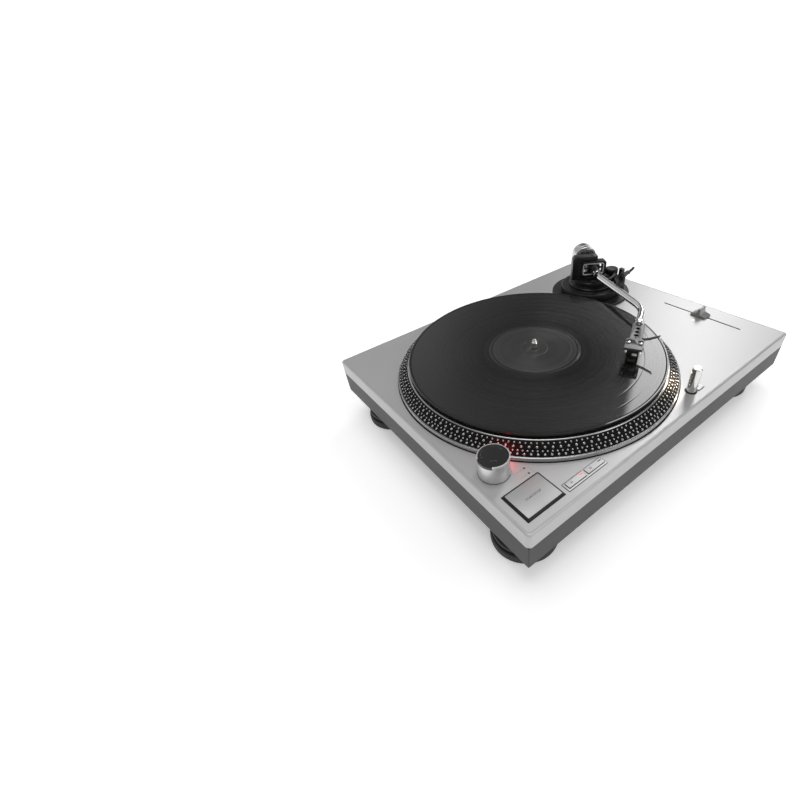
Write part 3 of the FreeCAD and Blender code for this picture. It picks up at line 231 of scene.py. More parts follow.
def merged(name, objs, sharp=32.0):
    """Joins several new meshes into one piece."""
    bm = bmesh.new()
    for o in objs:
        bm.from_mesh(o.data)
        me = o.data
        bpy.data.objects.remove(o)
        bpy.data.meshes.remove(me)
    me = bpy.data.meshes.new(name)
    bm.to_mesh(me)
    bm.free()
    me.polygons.foreach_set("use_smooth", [True] * len(me.polygons))
    me.set_sharp_from_angle(angle=math.radians(sharp))
    return link(bpy.data.objects.new(name, me))


def lettering(name, text, size, x, y, z, turn=0.0, thick=0.05, tilt=None, spacing=1.0, align="CENTER"):
    """Raised lettering as a mesh, size is the height of the capitals in mm."""
    cu = bpy.data.curves.new(name, "FONT")
    cu.body = text
    cu.size = size / 0.7 * MM
    cu.align_x = align
    cu.align_y = "CENTER"
    cu.extrude = thick * MM / 2
    cu.space_character = spacing
    o = link(bpy.data.objects.new(name, cu))
    o.matrix_world = Matrix.Translation(Vector((x, y, z)) * MM) @ Matrix.Rotation(math.radians(turn), 4, "Z") @ (tilt or Matrix.Identity(4))
    bpy.context.view_layer.update()
    me = bpy.data.meshes.new_from_object(o.evaluated_get(bpy.context.evaluated_depsgraph_get()))
    me.transform(o.matrix_world)
    me.name = name
    bpy.data.objects.remove(o)
    bpy.data.curves.remove(cu)
    return link(bpy.data.objects.new(name, me))


def refine(node, name=None, bevel=0.25, seg=3, angle=35.0, sharp=30.0):
    """A copy of a CAD node's mesh with its edges bevelled, to stand for the node."""
    src = NODES[node].data
    bm = bmesh.new()
    bm.from_mesh(src)
    bmesh.ops.remove_doubles(bm, verts=bm.verts, dist=2e-6)
    bmesh.ops.dissolve_limit(bm, angle_limit=math.radians(0.4), verts=bm.verts, edges=bm.edges)
    if bevel:
        es = [e for e in bm.edges if len(e.link_faces) == 2 and e.calc_face_angle(0) > math.radians(angle)]
        bmesh.ops.bevel(bm, geom=es, offset=bevel * MM, offset_type="OFFSET", segments=seg, profile=0.5, affect="EDGES", clamp_overlap=True)
    me = bpy.data.meshes.new(name or node + "_piece")
    bm.to_mesh(me)
    bm.free()
    me.polygons.foreach_set("use_smooth", [True] * len(me.polygons))
    me.set_sharp_from_angle(angle=math.radians(sharp))
    return link(bpy.data.objects.new(name or node + "_piece", me))


# ---------------------------------------------------------------- materials
class Mat:
    """A small helper for a principled material with noise-driven colour, roughness and bump."""

    def __init__(self, name, metallic=0.0, ior=1.5):
        self.m = bpy.data.materials.new(name)
        self.m.use_nodes = True
        self.nt = self.m.node_tree
        self.nt.nodes.clear()
        self.out = self.add("ShaderNodeOutputMaterial")
        self.b = self.add("ShaderNodeBsdfPrincipled")
        self.b.inputs["Metallic"].default_value = metallic
        self.b.inputs["IOR"].default_value = ior
        self.nt.links.new(self.b.outputs["BSDF"], self.out.inputs["Surface"])
        self.tc = self.add("ShaderNodeTexCoord")
        self.bumps = None

    def add(self, kind, **k):
        n = self.nt.nodes.new(kind)
        for a, v in k.items():
            setattr(n, a, v)
        return n

    def link(self, a, b):
        self.nt.links.new(a, b)

    def mapped(self, scale=(1, 1, 1), rot=(0, 0, 0), loc=(0, 0, 0)):
        mp = self.add("ShaderNodeMapping")
        mp.inputs["Scale"].default_value = scale
        mp.inputs["Rotation"].default_value = rot
        mp.inputs["Location"].default_value = loc
        self.link(self.tc.outputs["Object"], mp.inputs["Vector"])
        return mp.outputs["Vector"]

    def noise(self, scale, detail=4.0, rough=0.55, vec=None, stretch=None, rot=(0, 0, 0)):
        n = self.add("ShaderNodeTexNoise")
        n.inputs["Scale"].default_value = scale
        n.inputs["Detail"].default_value = detail
        n.inputs["Roughness"].default_value = rough
        if vec is None:
            vec = self.mapped(stretch or (1, 1, 1), rot)
        self.link(vec, n.inputs["Vector"])
        return n.outputs["Fac"]

    def ramp(self, fac, stops):
        r = self.add("ShaderNodeValToRGB")
        e = r.color_ramp.elements
        while len(e) < len(stops):
            e.new(0.5)
        for el, (pos, col) in zip(e, stops):
            el.position = pos
            c = col if isinstance(col, (list, tuple)) else (col, col, col)
            el.color = (*c, 1.0)
        self.link(fac, r.inputs["Fac"])
        return r.outputs["Color"]

    def range(self, fac, lo, hi, a=0.0, b=1.0):
        r = self.add("ShaderNodeMapRange")
        r.inputs["From Min"].default_value = a
        r.inputs["From Max"].default_value = b
        r.inputs["To Min"].default_value = lo
        r.inputs["To Max"].default_value = hi
        self.link(fac, r.inputs["Value"])
        return r.outputs["Result"]

    def math(self, op, a, b=None, c=None):
        n = self.add("ShaderNodeMath", operation=op)
        for i, v in enumerate((a, b, c)):
            if v is None:
                continue
            if isinstance(v, (int, float)):
                n.inputs[i].default_value = v
            else:
                self.link(v, n.inputs[i])
        return n.outputs[0]

    def mix(self, fac, a, b, mode="MIX"):
        n = self.add("ShaderNodeMix", data_type="RGBA", blend_type=mode)
        for key, v in ((0, fac), (6, a), (7, b)):
            if isinstance(v, (int, float)):
                n.inputs[key].default_value = v
            elif isinstance(v, (list, tuple)):
                n.inputs[key].default_value = (*v, 1.0)
            else:
                self.link(v, n.inputs[key])
        return n.outputs[2]

    def colour(self, c):
        if isinstance(c, (list, tuple)):
            self.b.inputs["Base Color"].default_value = (*c, 1.0)
        else:
            self.link(c, self.b.inputs["Base Color"])

    def rough(self, r):
        if isinstance(r, (int, float)):
            self.b.inputs["Roughness"].default_value = r
        else:
            self.link(r, self.b.inputs["Roughness"])

    def bump(self, height, strength=0.3, distance=0.0001):
        n = self.add("ShaderNodeBump")
        n.inputs["Strength"].default_value = strength
        n.inputs["Distance"].default_value = distance
        self.link(height, n.inputs["Height"])
        if self.bumps is not None:
            self.link(self.bumps, n.inputs["Normal"])
        self.bumps = n.outputs["Normal"]
        self.link(self.bumps, self.b.inputs["Normal"])

    def radius_from(self, x, y):
        """Distance in metres from a vertical axis."""
        s = self.add("ShaderNodeVectorMath", operation="SUBTRACT")
        self.link(self.tc.outputs["Object"], s.inputs[0])
        s.inputs[1].default_value = (x * MM, y * MM, 0)
        f = self.add("ShaderNodeVectorMath", operation="MULTIPLY")
        self.link(s.outputs[0], f.inputs[0])
        f.inputs[1].default_value = (1, 1, 0)
        n = self.add("ShaderNodeVectorMath", operation="LENGTH")
        self.link(f.outputs[0], n.inputs[0])
        return n.outputs["Value"]

    def rings(self, x, y, scale, detail=3.0, rough=0.6):
        """Noise that changes only with the distance in millimetres from a vertical axis."""
        mm = self.math("MULTIPLY", self.radius_from(x, y), 1000.0)
        n = self.add("ShaderNodeTexNoise", noise_dimensions="1D")
        n.inputs["Scale"].default_value = scale
        n.inputs["Detail"].default_value = detail
        n.inputs["Roughness"].default_value = rough
        self.link(mm, n.inputs["W"])
        return n.outputs["Fac"]

    def radial_tangent(self, axis="Z"):
        t = self.add("ShaderNodeTangent", direction_type="RADIAL", axis=axis)
        self.link(t.outputs[0], self.b.inputs["Tangent"])


def metal(name, lo, hi, r0, r1, stretch=(1, 1, 1), scale=60, bump=0.1, fine=1600, tint=(1, 1, 1), rot=(0, 0, 0), metallic=1.0, turned=None, aniso=0.0, distance=0.00005):
    """Metal with grain along one direction, or turned about a vertical axis: colour, roughness and relief follow the grain."""
    k = Mat(name, metallic=metallic)
    broad = k.noise(scale, 3, stretch=(1, 1, 1))
    grain = k.rings(turned[0], turned[1], 9.0) if turned else k.noise(fine, 3, 0.6, stretch=stretch, rot=rot)
    both = k.math("MULTIPLY_ADD", grain, 0.6, k.math("MULTIPLY", broad, 0.4))
    k.colour(k.ramp(both, [(0.3, [lo * t for t in tint]), (0.72, [hi * t for t in tint])]))
    k.rough(k.range(both, r0, r1, 0.3, 0.7))
    if aniso:
        k.b.inputs["Anisotropic"].default_value = aniso
        k.radial_tangent("Z")
    if bump:
        k.bump(grain, bump, distance)
    return k.m


def plastic(name, dark, light, r0, r1, scale=700, bump=0.25, ior=1.46, coat=0.0, distance=0.0001, metallic=0.0):
    """Moulded plastic or paint with a fine grained skin."""
    k = Mat(name, ior=ior, metallic=metallic)
    fine = k.noise(scale, 4, 0.6)
    broad = k.noise(14, 3)
    both = k.math("MULTIPLY_ADD", fine, 0.5, k.math("MULTIPLY", broad, 0.5))
    k.colour(k.ramp(both, [(0.3, dark), (0.7, light)]))
    k.rough(k.range(both, r0, r1, 0.3, 0.7))
    if bump:
        k.bump(fine, bump, distance)
    if coat:
        k.b.inputs["Coat Weight"].default_value = coat
        k.b.inputs["Coat Roughness"].default_value = 0.08
    return k.m


def grey(v, d=0.0):
    return (v, v + d / 2, v + d)


M = {}
M["plate"] = metal("satin top plate", 0.51, 0.57, 0.40, 0.48, scale=7, bump=0.10, fine=3200, metallic=0.84)
M["case"] = metal("satin silver case", 0.47, 0.54, 0.34, 0.42, scale=20, bump=0.07, fine=3000, metallic=0.4)
M["dark_case"] = plastic("dark grey base", grey(0.027, 0.001), grey(0.037, 0.002), 0.42, 0.55, scale=1700, bump=0.3)
M["weight"] = metal("satin weight", 0.62, 0.72, 0.15, 0.22, scale=140, bump=0.03, fine=2200, metallic=0.9)
M["fader"] = metal("fader cap", 0.34, 0.42, 0.30, 0.38, scale=60, bump=0.05, fine=3000, metallic=0.8)
M["silver"] = metal("satin silver key", 0.46, 0.54, 0.42, 0.50, scale=40, bump=0.06, fine=3400, metallic=0.80)
M["tray"] = metal("pale satin frame", 0.60, 0.68, 0.36, 0.44, scale=40, bump=0.04, fine=3400, metallic=0.5)
M["pale_cap"] = metal("pale satin cap", 0.74, 0.82, 0.30, 0.38, scale=60, bump=0.03, fine=3000, metallic=0.25)
# near-white, mostly diffuse colour: on the gimbal's polished chamfers it is a painted highlight
M["edge"] = metal("bright chamfer", 0.84, 0.92, 0.28, 0.36, scale=60, bump=0.03, fine=3000, metallic=0.3)
M["silver_v"] = metal("turned silver", 0.66, 0.74, 0.26, 0.34, stretch=(0.25, 0.25, 2), scale=30, bump=0.05, fine=2600, metallic=0.75)
M["platter"] = metal("turned platter metal", 0.40, 0.50, 0.20, 0.28, bump=0.25, turned=(SX, SY), scale=30, distance=0.00004)
M["chrome"] = metal("polished chrome", 0.76, 0.83, 0.035, 0.075, scale=120, bump=0.008, fine=900)
M["bright"] = metal("polished weight", 0.66, 0.76, 0.10, 0.17, scale=140, bump=0.03, fine=2200)
M["steel"] = metal("machined steel", 0.42, 0.52, 0.22, 0.34, scale=80, bump=0.1, fine=2500)
M["dark_steel"] = metal("blackened steel", 0.10, 0.15, 0.28, 0.4, scale=80, bump=0.1, fine=2500)
M["black_satin"] = plastic("satin black", grey(0.007), grey(0.014, 0.001), 0.28, 0.40, scale=2400, bump=0.10)
M["black_matte"] = plastic("matte black", grey(0.014), grey(0.025, 0.001), 0.45, 0.6, scale=1800, bump=0.25)
M["black_gloss"] = plastic("gloss black", grey(0.010), grey(0.016, 0.001), 0.16, 0.24, scale=500, bump=0.02, coat=0.35)
M["rubber"] = plastic("rubber foot", grey(0.016), grey(0.028, 0.001), 0.5, 0.68, scale=1300, bump=0.35)
M["board"] = plastic("circuit board", (0.010, 0.07, 0.03), (0.016, 0.10, 0.045), 0.3, 0.5, scale=500, bump=0.2)
M["copper"] = metal("copper winding", 0.5, 0.7, 0.3, 0.5, stretch=(1, 1, 0.1), scale=100, bump=0.3, fine=1500, tint=(0.95, 0.52, 0.30))
M["gold"] = metal("plated brass", 0.72, 0.82, 0.14, 0.24, scale=200, bump=0.03, fine=2000, tint=(1.0, 0.78, 0.42))
M["magnet"] = plastic("sintered magnet", grey(0.05), grey(0.08), 0.5, 0.7, scale=1200, bump=0.4)
M["print_dark"] = plastic("dark print", grey(0.035), grey(0.055), 0.5, 0.6, scale=900, bump=0.05)
M["print_grey"] = plastic("grey print", grey(0.20), grey(0.26), 0.5, 0.6, scale=900, bump=0.05)
M["print_faint"] = plastic("faint print", grey(0.07), grey(0.10), 0.4, 0.5, scale=900, bump=0.05)
M["print_light"] = plastic("pale print", grey(0.42), grey(0.52), 0.45, 0.55, scale=900, bump=0.05)
M["seam"] = plastic("dark seam", grey(0.006), grey(0.012), 0.7, 0.9, scale=900, bump=0.2)
M["head"] = metal("headshell grey", 0.115, 0.155, 0.30, 0.40, scale=80, bump=0.05, fine=2800, metallic=0.8)
M["band"] = plastic("strobe band black", grey(0.005), grey(0.010), 0.65, 0.8, scale=1600, bump=0.1, ior=1.18)
M["red_plastic"] = plastic("red insulator", (0.35, 0.012, 0.010), (0.45, 0.02, 0.015), 0.3, 0.4, scale=900, bump=0.05)
M["white_plastic"] = plastic("white insulator", grey(0.60), grey(0.68), 0.3, 0.4, scale=900, bump=0.05)


def felt():
    k = Mat("black felt")
    f = k.noise(2600, 6, 0.75)
    g = k.noise(420, 3)
    k.colour(k.ramp(k.math("MULTIPLY_ADD", f, 0.6, k.math("MULTIPLY", g, 0.4)), [(0.3, grey(0.005)), (0.75, grey(0.022, 0.001))]))
    k.rough(0.95)
    k.b.inputs["Sheen Weight"].default_value = 0.3
    k.b.inputs["Sheen Roughness"].default_value = 0.5
    k.bump(f, 0.8, 0.0005)
    return k.m


def vinyl():
    """Grooved black vinyl: a gloss over rings that scatter the light across the groove."""
    k = Mat("pressed vinyl", ior=1.50)
    fine = k.rings(SX, SY, 1.3, 5.0, 0.7)
    slow = k.rings(SX, SY, 0.085, 2.0, 0.5)
    band = k.math("MULTIPLY_ADD", fine, 0.68, k.math("MULTIPLY", slow, 0.32))
    k.colour(k.ramp(band, [(0.35, grey(0.0035)), (0.65, grey(0.0075))]))
    k.rough(k.range(band, 0.20, 0.32, 0.38, 0.62))
    k.b.inputs["Specular IOR Level"].default_value = 0.10
    k.b.inputs["Anisotropic"].default_value = 0.92
    k.radial_tangent("Z")
    k.b.inputs["Coat Weight"].default_value = 1.0
    k.b.inputs["Coat Roughness"].default_value = 0.03
    k.b.inputs["Coat IOR"].default_value = 1.5
    mm = k.math("MULTIPLY", k.radius_from(SX, SY), 1000.0)
    inside = k.math("MULTIPLY", k.math("GREATER_THAN", mm, 62.0), k.math("LESS_THAN", mm, 147.5))
    k.bump(k.math("MULTIPLY", fine, inside), 0.6, 0.00008)
    return k.m


def label_paper():
    k = Mat("record label")
    f = k.noise(1600, 5, 0.7)
    g = k.rings(SX, SY, 0.14, 2.0)
    k.colour(k.ramp(k.math("MULTIPLY_ADD", f, 0.4, k.math("MULTIPLY", g, 0.6)), [(0.3, grey(0.030)), (0.7, grey(0.042))]))
    k.rough(k.range(g, 0.22, 0.27))
    k.b.inputs["Specular IOR Level"].default_value = 0.5
    k.b.inputs["Anisotropic"].default_value = 0.8
    k.radial_tangent("Z")
    k.bump(f, 0.12, 0.00005)
    return k.m


def speckled():
    k = Mat("force ring", metallic=0.3)
    n = k.noise(460, 2)
    k.colour(k.ramp(n, [(0.44, grey(0.010)), (0.62, grey(0.15))]))
    k.rough(k.range(n, 0.3, 0.42))
    k.bump(n, 0.15, 0.00008)
    return k.m


def glow(name, colour, strength, base=(0.3, 0.02, 0.02)):
    k = Mat(name)
    n = k.noise(900, 3)
    k.colour(k.ramp(n, [(0.2, [c * 0.8 for c in base]), (0.8, base)]))
    k.rough(0.25)
    k.link(k.ramp(n, [(0.2, [c * 0.85 for c in colour]), (0.8, colour)]), k.b.inputs["Emission Color"])
    k.b.inputs["Emission Strength"].default_value = strength
    return k.m


def dot_metal():
    k = Mat("strobe dots", metallic=1.0)
    n = k.noise(700, 3)
    k.colour(k.ramp(n, [(0.3, 0.40), (0.7, 0.54)]))
    k.rough(k.range(n, 0.20, 0.32))
    k.bump(n, 0.1, 0.00005)
    return k.m


def amber_glass():
    k = Mat("lamp lens", ior=1.49)
    n = k.noise(600, 3)
    k.colour(k.ramp(n, [(0.2, (0.75, 0.62, 0.42)), (0.8, (0.85, 0.74, 0.55))]))
    k.rough(0.12)
    k.link(k.ramp(n, [(0.2, (0.9, 0.66, 0.36)), (0.8, (1.0, 0.78, 0.48))]), k.b.inputs["Emission Color"])
    k.b.inputs["Emission Strength"].default_value = 2.5
    return k.m


M["felt"] = felt()
M["vinyl"] = vinyl()
M["label"] = label_paper()
M["speckle"] = speckled()
M["dots"] = dot_metal()
M["lens"] = amber_glass()
M["red"] = glow("red lamp", (1.0, 0.04, 0.02), 8.0)
M["led_red"] = glow("red LED", (1.0, 0.07, 0.04), 1.6)
M["led_green"] = glow("green LED", (0.62, 0.85, 0.22), 2.0, (0.05, 0.2, 0.03))

DEFAULT = {
    "top_plate": "plate", "upper_case": "case", "lower_case": "dark_case", "platter_well": "dark_case", "base_plate": "dark_case", "case_screws": "steel", "foot_studs": "steel",
    "motor_stator": "copper", "spindle_bearing": "steel", "main_board": "board", "power_supply": "copper", "strobe_pod": "silver_v",
    "speed_tray": "tray", "indicator_leds": "print_dark", "pitch_fader_body": "black_matte", "arm_base_plate": "black_satin", "rca_jacks": "gold", "ground_post": "gold", "mains_inlet": "black_matte",
    "foot_fl": "rubber", "foot_fr": "rubber", "foot_rl": "rubber", "foot_rr": "rubber", "spindle": "chrome", "rotor_magnet": "magnet", "platter": "platter", "slipmat": "felt", "record": "vinyl",
    "power_knob_ring": "silver_v", "power_knob_cap": "black_gloss", "start_stop_button": "black_satin", "start_stop_plate": "silver", "button_33": "tray", "button_45": "tray",
    "target_light_barrel": "bright", "light_button": "tray", "pitch_knob": "fader", "height_ring": "black_satin", "arm_platform": "black_satin", "gimbal_yoke": "black_satin", "yoke_pivot_screws": "dark_steel",
    "cue_lift_housing": "black_satin", "arm_rest": "black_matte", "arm_rest_clip": "black_matte", "anti_skate_dial": "black_satin", "cue_lever": "black_satin", "lift_bar": "black_matte", "gimbal_ring": "black_satin", "ring_pivot_screws": "dark_steel",
    "arm_sleeve": "black_satin", "arm_tube": "chrome", "counterweight_bush": "black_matte", "counterweight": "weight", "pressure_ring": "speckle", "headshell_collar": "chrome", "headshell": "head",
    "finger_lift": "dark_steel", "cartridge": "black_satin", "stylus": "black_matte", "cartridge_screws": "chrome",
}
for node, key in DEFAULT.items():
    if node in NODES:
        NODES[node].data.materials.clear()
        NODES[node].data.materials.append(M[key])

# ---------------------------------------------------------------- case
W2, D2 = 225.0, 176.0


def strip_ring(name, half_w, half_d, r, width, z0, z1):
    """A closed rectangular strip with rounded corners."""
    outer = soften([(-half_w, -half_d), (half_w, -half_d), (half_w, half_d), (-half_w, half_d)], r, 8, keep_axis=False)
    inner = soften([(-half_w + width, -half_d + width), (half_w - width, -half_d + width), (half_w - width, half_d - width), (-half_w + width, half_d - width)], max(r - width, 0.2), 8, keep_axis=False)
    bm = bmesh.new()
    rows = [[bm.verts.new(Vector((x, y, z)) * MM) for x, y in pts] for pts, z in ((outer, z0), (outer, z1), (inner, z1), (inner, z0))]
    n = len(outer)
    for a in range(4):
        p, q = rows[a], rows[(a + 1) % 4]
        for i in range(n):
            bm.faces.new([p[i], p[(i + 1) % n], q[(i + 1) % n], q[i]])
    return finish_mesh(bm, name)


# grey strip sunk in the gap round the top plate: painted shade that draws the gap's dark line
place(strip_ring("plate_gap_shade_line", W2 - 2.61, D2 - 2.61, 3.0, 0.23, T - 1.4, T - 0.16), "chassis", material=M["print_grey"], slot="silver_paint")
# a dark shadow line where the silver case meets the grey base
place(strip_ring("case_joint", W2 - 0.45, D2 - 0.45, 1.0, 0.4, 66.3 - 0.35, 66.3 + 0.02), "chassis", material=M["seam"], slot="black_matte")
c = frame_matrix(SX, SY)
# dark lining on the wall of the platter's well between the pan and the top plate: painted shade for the dark gap round
# the platter's lip
place(lathe("well_gap_shade", [(166.95, T - 4.5), (167.19, T - 4.5), (167.19, T - 0.1), (166.95, T - 0.25)], c, 256, 0.03, 1), "chassis", material=M["seam"], slot="black_matte")

# ---------------------------------------------------------------- feet
for tag, sx, sy, body in (("fl", -1, -1, "foot_front_left"), ("fr", 1, -1, "foot_front_right"), ("rl", -1, 1, "foot_rear_left"), ("rr", 1, 1, "foot_rear_right")):
    prof = [(4.1, 8), (4.1, 37.1), (23.2, 37.1), (23.2, 33.2), (27, 31.2), (31, 25.2), (31, 21.2), (29.2, 20.4), (29.2, 18.6), (32.2, 18.2), (33.4, 17.2), (33.4, 13.4), (31.8, 13.1), (31.8, 11.3), (33.8, 11.1), (34.9, 10), (34.95, 1.6), (34, 0.02), (30.2, 0.02), (29.2, 0.6), (0, 0.6), (0, 8)]
    place(lathe("foot_rubber_" + tag, prof, frame_matrix(sx * 185.8, sy * 129.5), 96, 0.45, 4), body, "foot_" + tag, material=M["rubber"], slot="rubber")
    ribs = []
    for i in range(48):
        ribs.append(prism("rib", [(34.7, -0.8), (35.15, -0.55), (35.15, 0.55), (34.7, 0.8)], 2.6, 8.8, frame_matrix(sx * 185.8, sy * 129.5, 0, 7.5 * i), bevel=0.12, seg=2))
    place(merged("foot_grip_" + tag, ribs), body, material=M["rubber"], slot="rubber")

# ---------------------------------------------------------------- platter
prof = [(4.03, T + 1), (17, T + 1), (17, T + 9), (22, T + 11.2), (136, T + 11.2), (142, T + 7.2), (146, T - 5.9), (165.8, T - 5.9), (166.25, T - 5.3), (166.25, T + 3.6), (165.75, T + 4.45), (165.0, T + 4.62), (164.6, T + 4.3), (164.2, T + 4.62), (163.8, T + 5.6),
        (152.95, T + 15.35), (152.5, T + 15.85), (151.9, T + 16.0), (150.5, T + 15.98), (149.5, T + 15.35), (148.4, T + 15.2), (4.03, T + 15.2)]
place(lathe("platter_casting", prof, c, 320, 0.35, 3), "platter_set", "platter", material=M["platter"], slot="platter_silver")
place(lathe("strobe_band", [(164.1, T + 4.66), (163.72, T + 5.58), (153.1, T + 15.18), (153.28, T + 15.40), (163.98, T + 5.78), (164.35, T + 4.7)], c, 320, 0.03, 2), "platter_set", material=M["band"], slot="black_matte")


def domes(name, rows, bump=0.5, segs=12):
    """Raised round dots on the cone, one row per (radius, count, dot radius, start angle)."""
    bm = bmesh.new()
    nx, nz = 0.670, 0.742
    for r, count, dot, start in rows:
        z = T + 5.6 + (163.8 - r) / 10.85 * 9.75 + 0.22
        for i in range(count):
            a = math.radians(start + 360.0 * i / count)
            out = Vector((math.cos(a), math.sin(a), 0))
            nrm = Vector((nx * math.cos(a), nx * math.sin(a), nz))
            side = Vector((-math.sin(a), math.cos(a), 0))
            up = nrm.cross(side)
            base = Vector((SX, SY, 0)) + out * r + Vector((0, 0, z))
            rings = []
            for t in (0, 22, 44, 68):
                rr, hh = math.cos(math.radians(t)), math.sin(math.radians(t))
                rings.append([bm.verts.new((base + (side * math.cos(w) + up * math.sin(w)) * dot * rr + nrm * (dot * bump * hh - 0.03)) * MM) for w in (2 * math.pi * k / segs for k in range(segs))])
            tip = bm.verts.new((base + nrm * (dot * bump - 0.03)) * MM)
            for p, q in zip(rings, rings[1:]):
                for k in range(segs):
                    bm.faces.new([p[k], p[(k + 1) % segs], q[(k + 1) % segs], q[k]])
            for k in range(segs):
                bm.faces.new([rings[-1][k], rings[-1][(k + 1) % segs], tip])
    me = bpy.data.meshes.new(name)
    bm.to_mesh(me)
    bm.free()
    me.polygons.foreach_set("use_smooth", [True] * len(me.polygons))
    return link(bpy.data.objects.new(name, me))


place(domes("strobe_dots", [(154.9, 183, 0.95, 0.3), (157.6, 134, 1.34, 0.9), (160.4, 216, 0.95, 0.1), (162.8, 159, 1.28, 0.5)]), "platter_set", material=M["dots"], slot="platter_silver")
place(lathe("felt_mat", [(3.72, T + 15.2), (147.4, T + 15.2), (147.5, T + 16.8), (147.2, T + 18.2), (146.5, T + 18.38), (3.72, T + 18.38)], c, 256, 0.3, 3), "platter_set", "slipmat", material=M["felt"], slot="felt")
prof = [(0, 47.4), (2.2, 47.4), (3.99, 49), (3.99, T - 3.5), (13.9, T - 3.45), (13.95, T + 0.98), (3.99, T + 1), (3.99, T + 14.8), (3.2, T + 15.3), (3.2, T + 20.7), (3.56, T + 20.8), (3.56, T + 28.8), (2.75, T + 31.1), (1.2, T + 33.15), (0, T + 33.25)]
place(lathe("spindle_pin", prof, c, 64, 0.35, 4), "platter_set", "spindle", material=M["weight"], slot="chrome")

# ---------------------------------------------------------------- record
lo, hi = T + 18.6, T + 20.7
prof = [(3.64, lo + 0.2), (4.4, lo), (51, lo), (54, lo + 0.3), (146, lo + 0.3), (148.5, lo), (150.2, lo + 0.1), (150.75, lo + 0.7), (150.75, hi - 0.75), (150.2, hi - 0.05), (148.9, hi), (147.6, hi - 0.32), (146.4, hi - 0.32)]
for g, w in ((136.8, 0.2), (124.6, 0.45), (108.3, 0.45), (96.4, 0.2), (88.2, 0.45), (75.6, 0.45)):
    prof += [(g + w + 1.2, hi - 0.32), (g + w + 0.35, hi - 0.32), (g + w, hi - 0.331), (g - w, hi - 0.331), (g - w - 0.35, hi - 0.32), (g - w - 1.2, hi - 0.32)]
prof += [(65.0, hi - 0.32), (63.6, hi - 0.32), (62.9, hi - 0.38), (62.2, hi - 0.38), (58.5, hi - 0.38), (57.9, hi - 0.34), (54.5, hi - 0.34), (51.5, hi - 0.02), (50.6, hi), (50.3, hi - 0.06), (4.4, hi - 0.06), (3.64, hi - 0.2)]
place(lathe("record_disc", prof, c, 384, 0.03, 1, sharp=3), "record_disc", "record", material=M["vinyl"], slot="vinyl")
place(lathe("record_label", [(3.9, hi - 0.05), (3.9, hi + 0.03), (15.6, hi + 0.03), (15.9, hi - 0.04), (16.5, hi - 0.04), (16.8, hi + 0.03), (43.6, hi + 0.03), (43.8, hi + 0.0), (44.2, hi + 0.0), (44.4, hi + 0.03), (49.9, hi + 0.03), (50.1, hi - 0.05)], c, 192, 0.02, 2), "record_disc", material=M["label"], slot="vinyl")

# ---------------------------------------------------------------- power knob
KX, KY = -200.3, -104.1
k0 = frame_matrix(KX, KY)
place(lathe("knob_skirt", [(14.9, T + 0.05), (15.6, T + 0.05), (15.65, T + 0.3), (15.45, T + 0.5), (14.9, T + 0.5)], k0, 96, 0.1), "chassis", material=M["seam"], slot="black_matte")
place(slab("strobe_window", 13.9, -4.3, 14.3, 4.3, T + 7.2, T + 11.8, frame_matrix(KX, KY, 0, 34.1), bevel=0.1), "chassis", material=M["red"], slot="led")
place(refine("power_knob_ring", "knob_rim", 0.12), "power_knob", "power_knob_ring", material=M["silver_v"], slot="silver_paint")


def arc_strip(name, x, y, z, r0, r1, a0, a1, thick=0.04, n=24):
    pts = [(x + r1 * math.cos(math.radians(a0 + (a1 - a0) * i / n)), y + r1 * math.sin(math.radians(a0 + (a1 - a0) * i / n))) for i in range(n + 1)]
    pts += [(x + r0 * math.cos(math.radians(a1 + (a0 - a1) * i / n)), y + r0 * math.sin(math.radians(a1 + (a0 - a1) * i / n))) for i in range(n + 1)]
    return prism(name, pts, z, z + thick, bevel=0.0)


zt = T + 21.5
marks = [arc_strip("a", KX, KY, zt, 11.55, 11.8, 20, 62), arc_strip("a", KX, KY, zt, 11.55, 11.8, 98, 140)]
for ang in (20, 62, 98, 140):
    marks.append(arc_strip("t", KX, KY, zt, 10.9, 11.8, ang - 1.0, ang + 1.0))
for txt, ang in (("ON", 8), ("OFF", 152)):
    a = math.radians(ang)
    marks.append(lettering("l", txt, 1.2, KX + 10.4 * math.cos(a), KY + 10.4 * math.sin(a), zt, -45))
marks.append(lettering("l", "POWER", 1.3, KX + 6.8 * math.cos(math.radians(-128)), KY + 6.8 * math.sin(math.radians(-128)), zt, -38))
place(merged("knob_marks", marks), "power_knob", material=M["print_faint"], slot="black_gloss")

# ---------------------------------------------------------------- start key
place(refine("start_stop_button", "start_key_base", 0.15), "start_stop", "start_stop_button", material=M["black_satin"], slot="black_matte")
place(refine("start_stop_plate", "start_key_plate", 0.12), "start_stop", "start_stop_plate", material=M["silver"], slot="silver_paint")
place(lettering("start_key_text", "START/STOP", 2.15, -193.4, -148.5, T + 2.12, 0, 0.06, spacing=1.06), "start_stop", material=M["seam"], slot="black_matte")
place(strip_ring("start_key_gap", 22.55, 17.5, 0.9, 0.78, T - 1.3, T + 0.05), "chassis", material=M["seam"], slot="black_matte")
bpy.data.objects["start_key_gap"].location = Vector((-193.4, -148.3, 0)) * MM

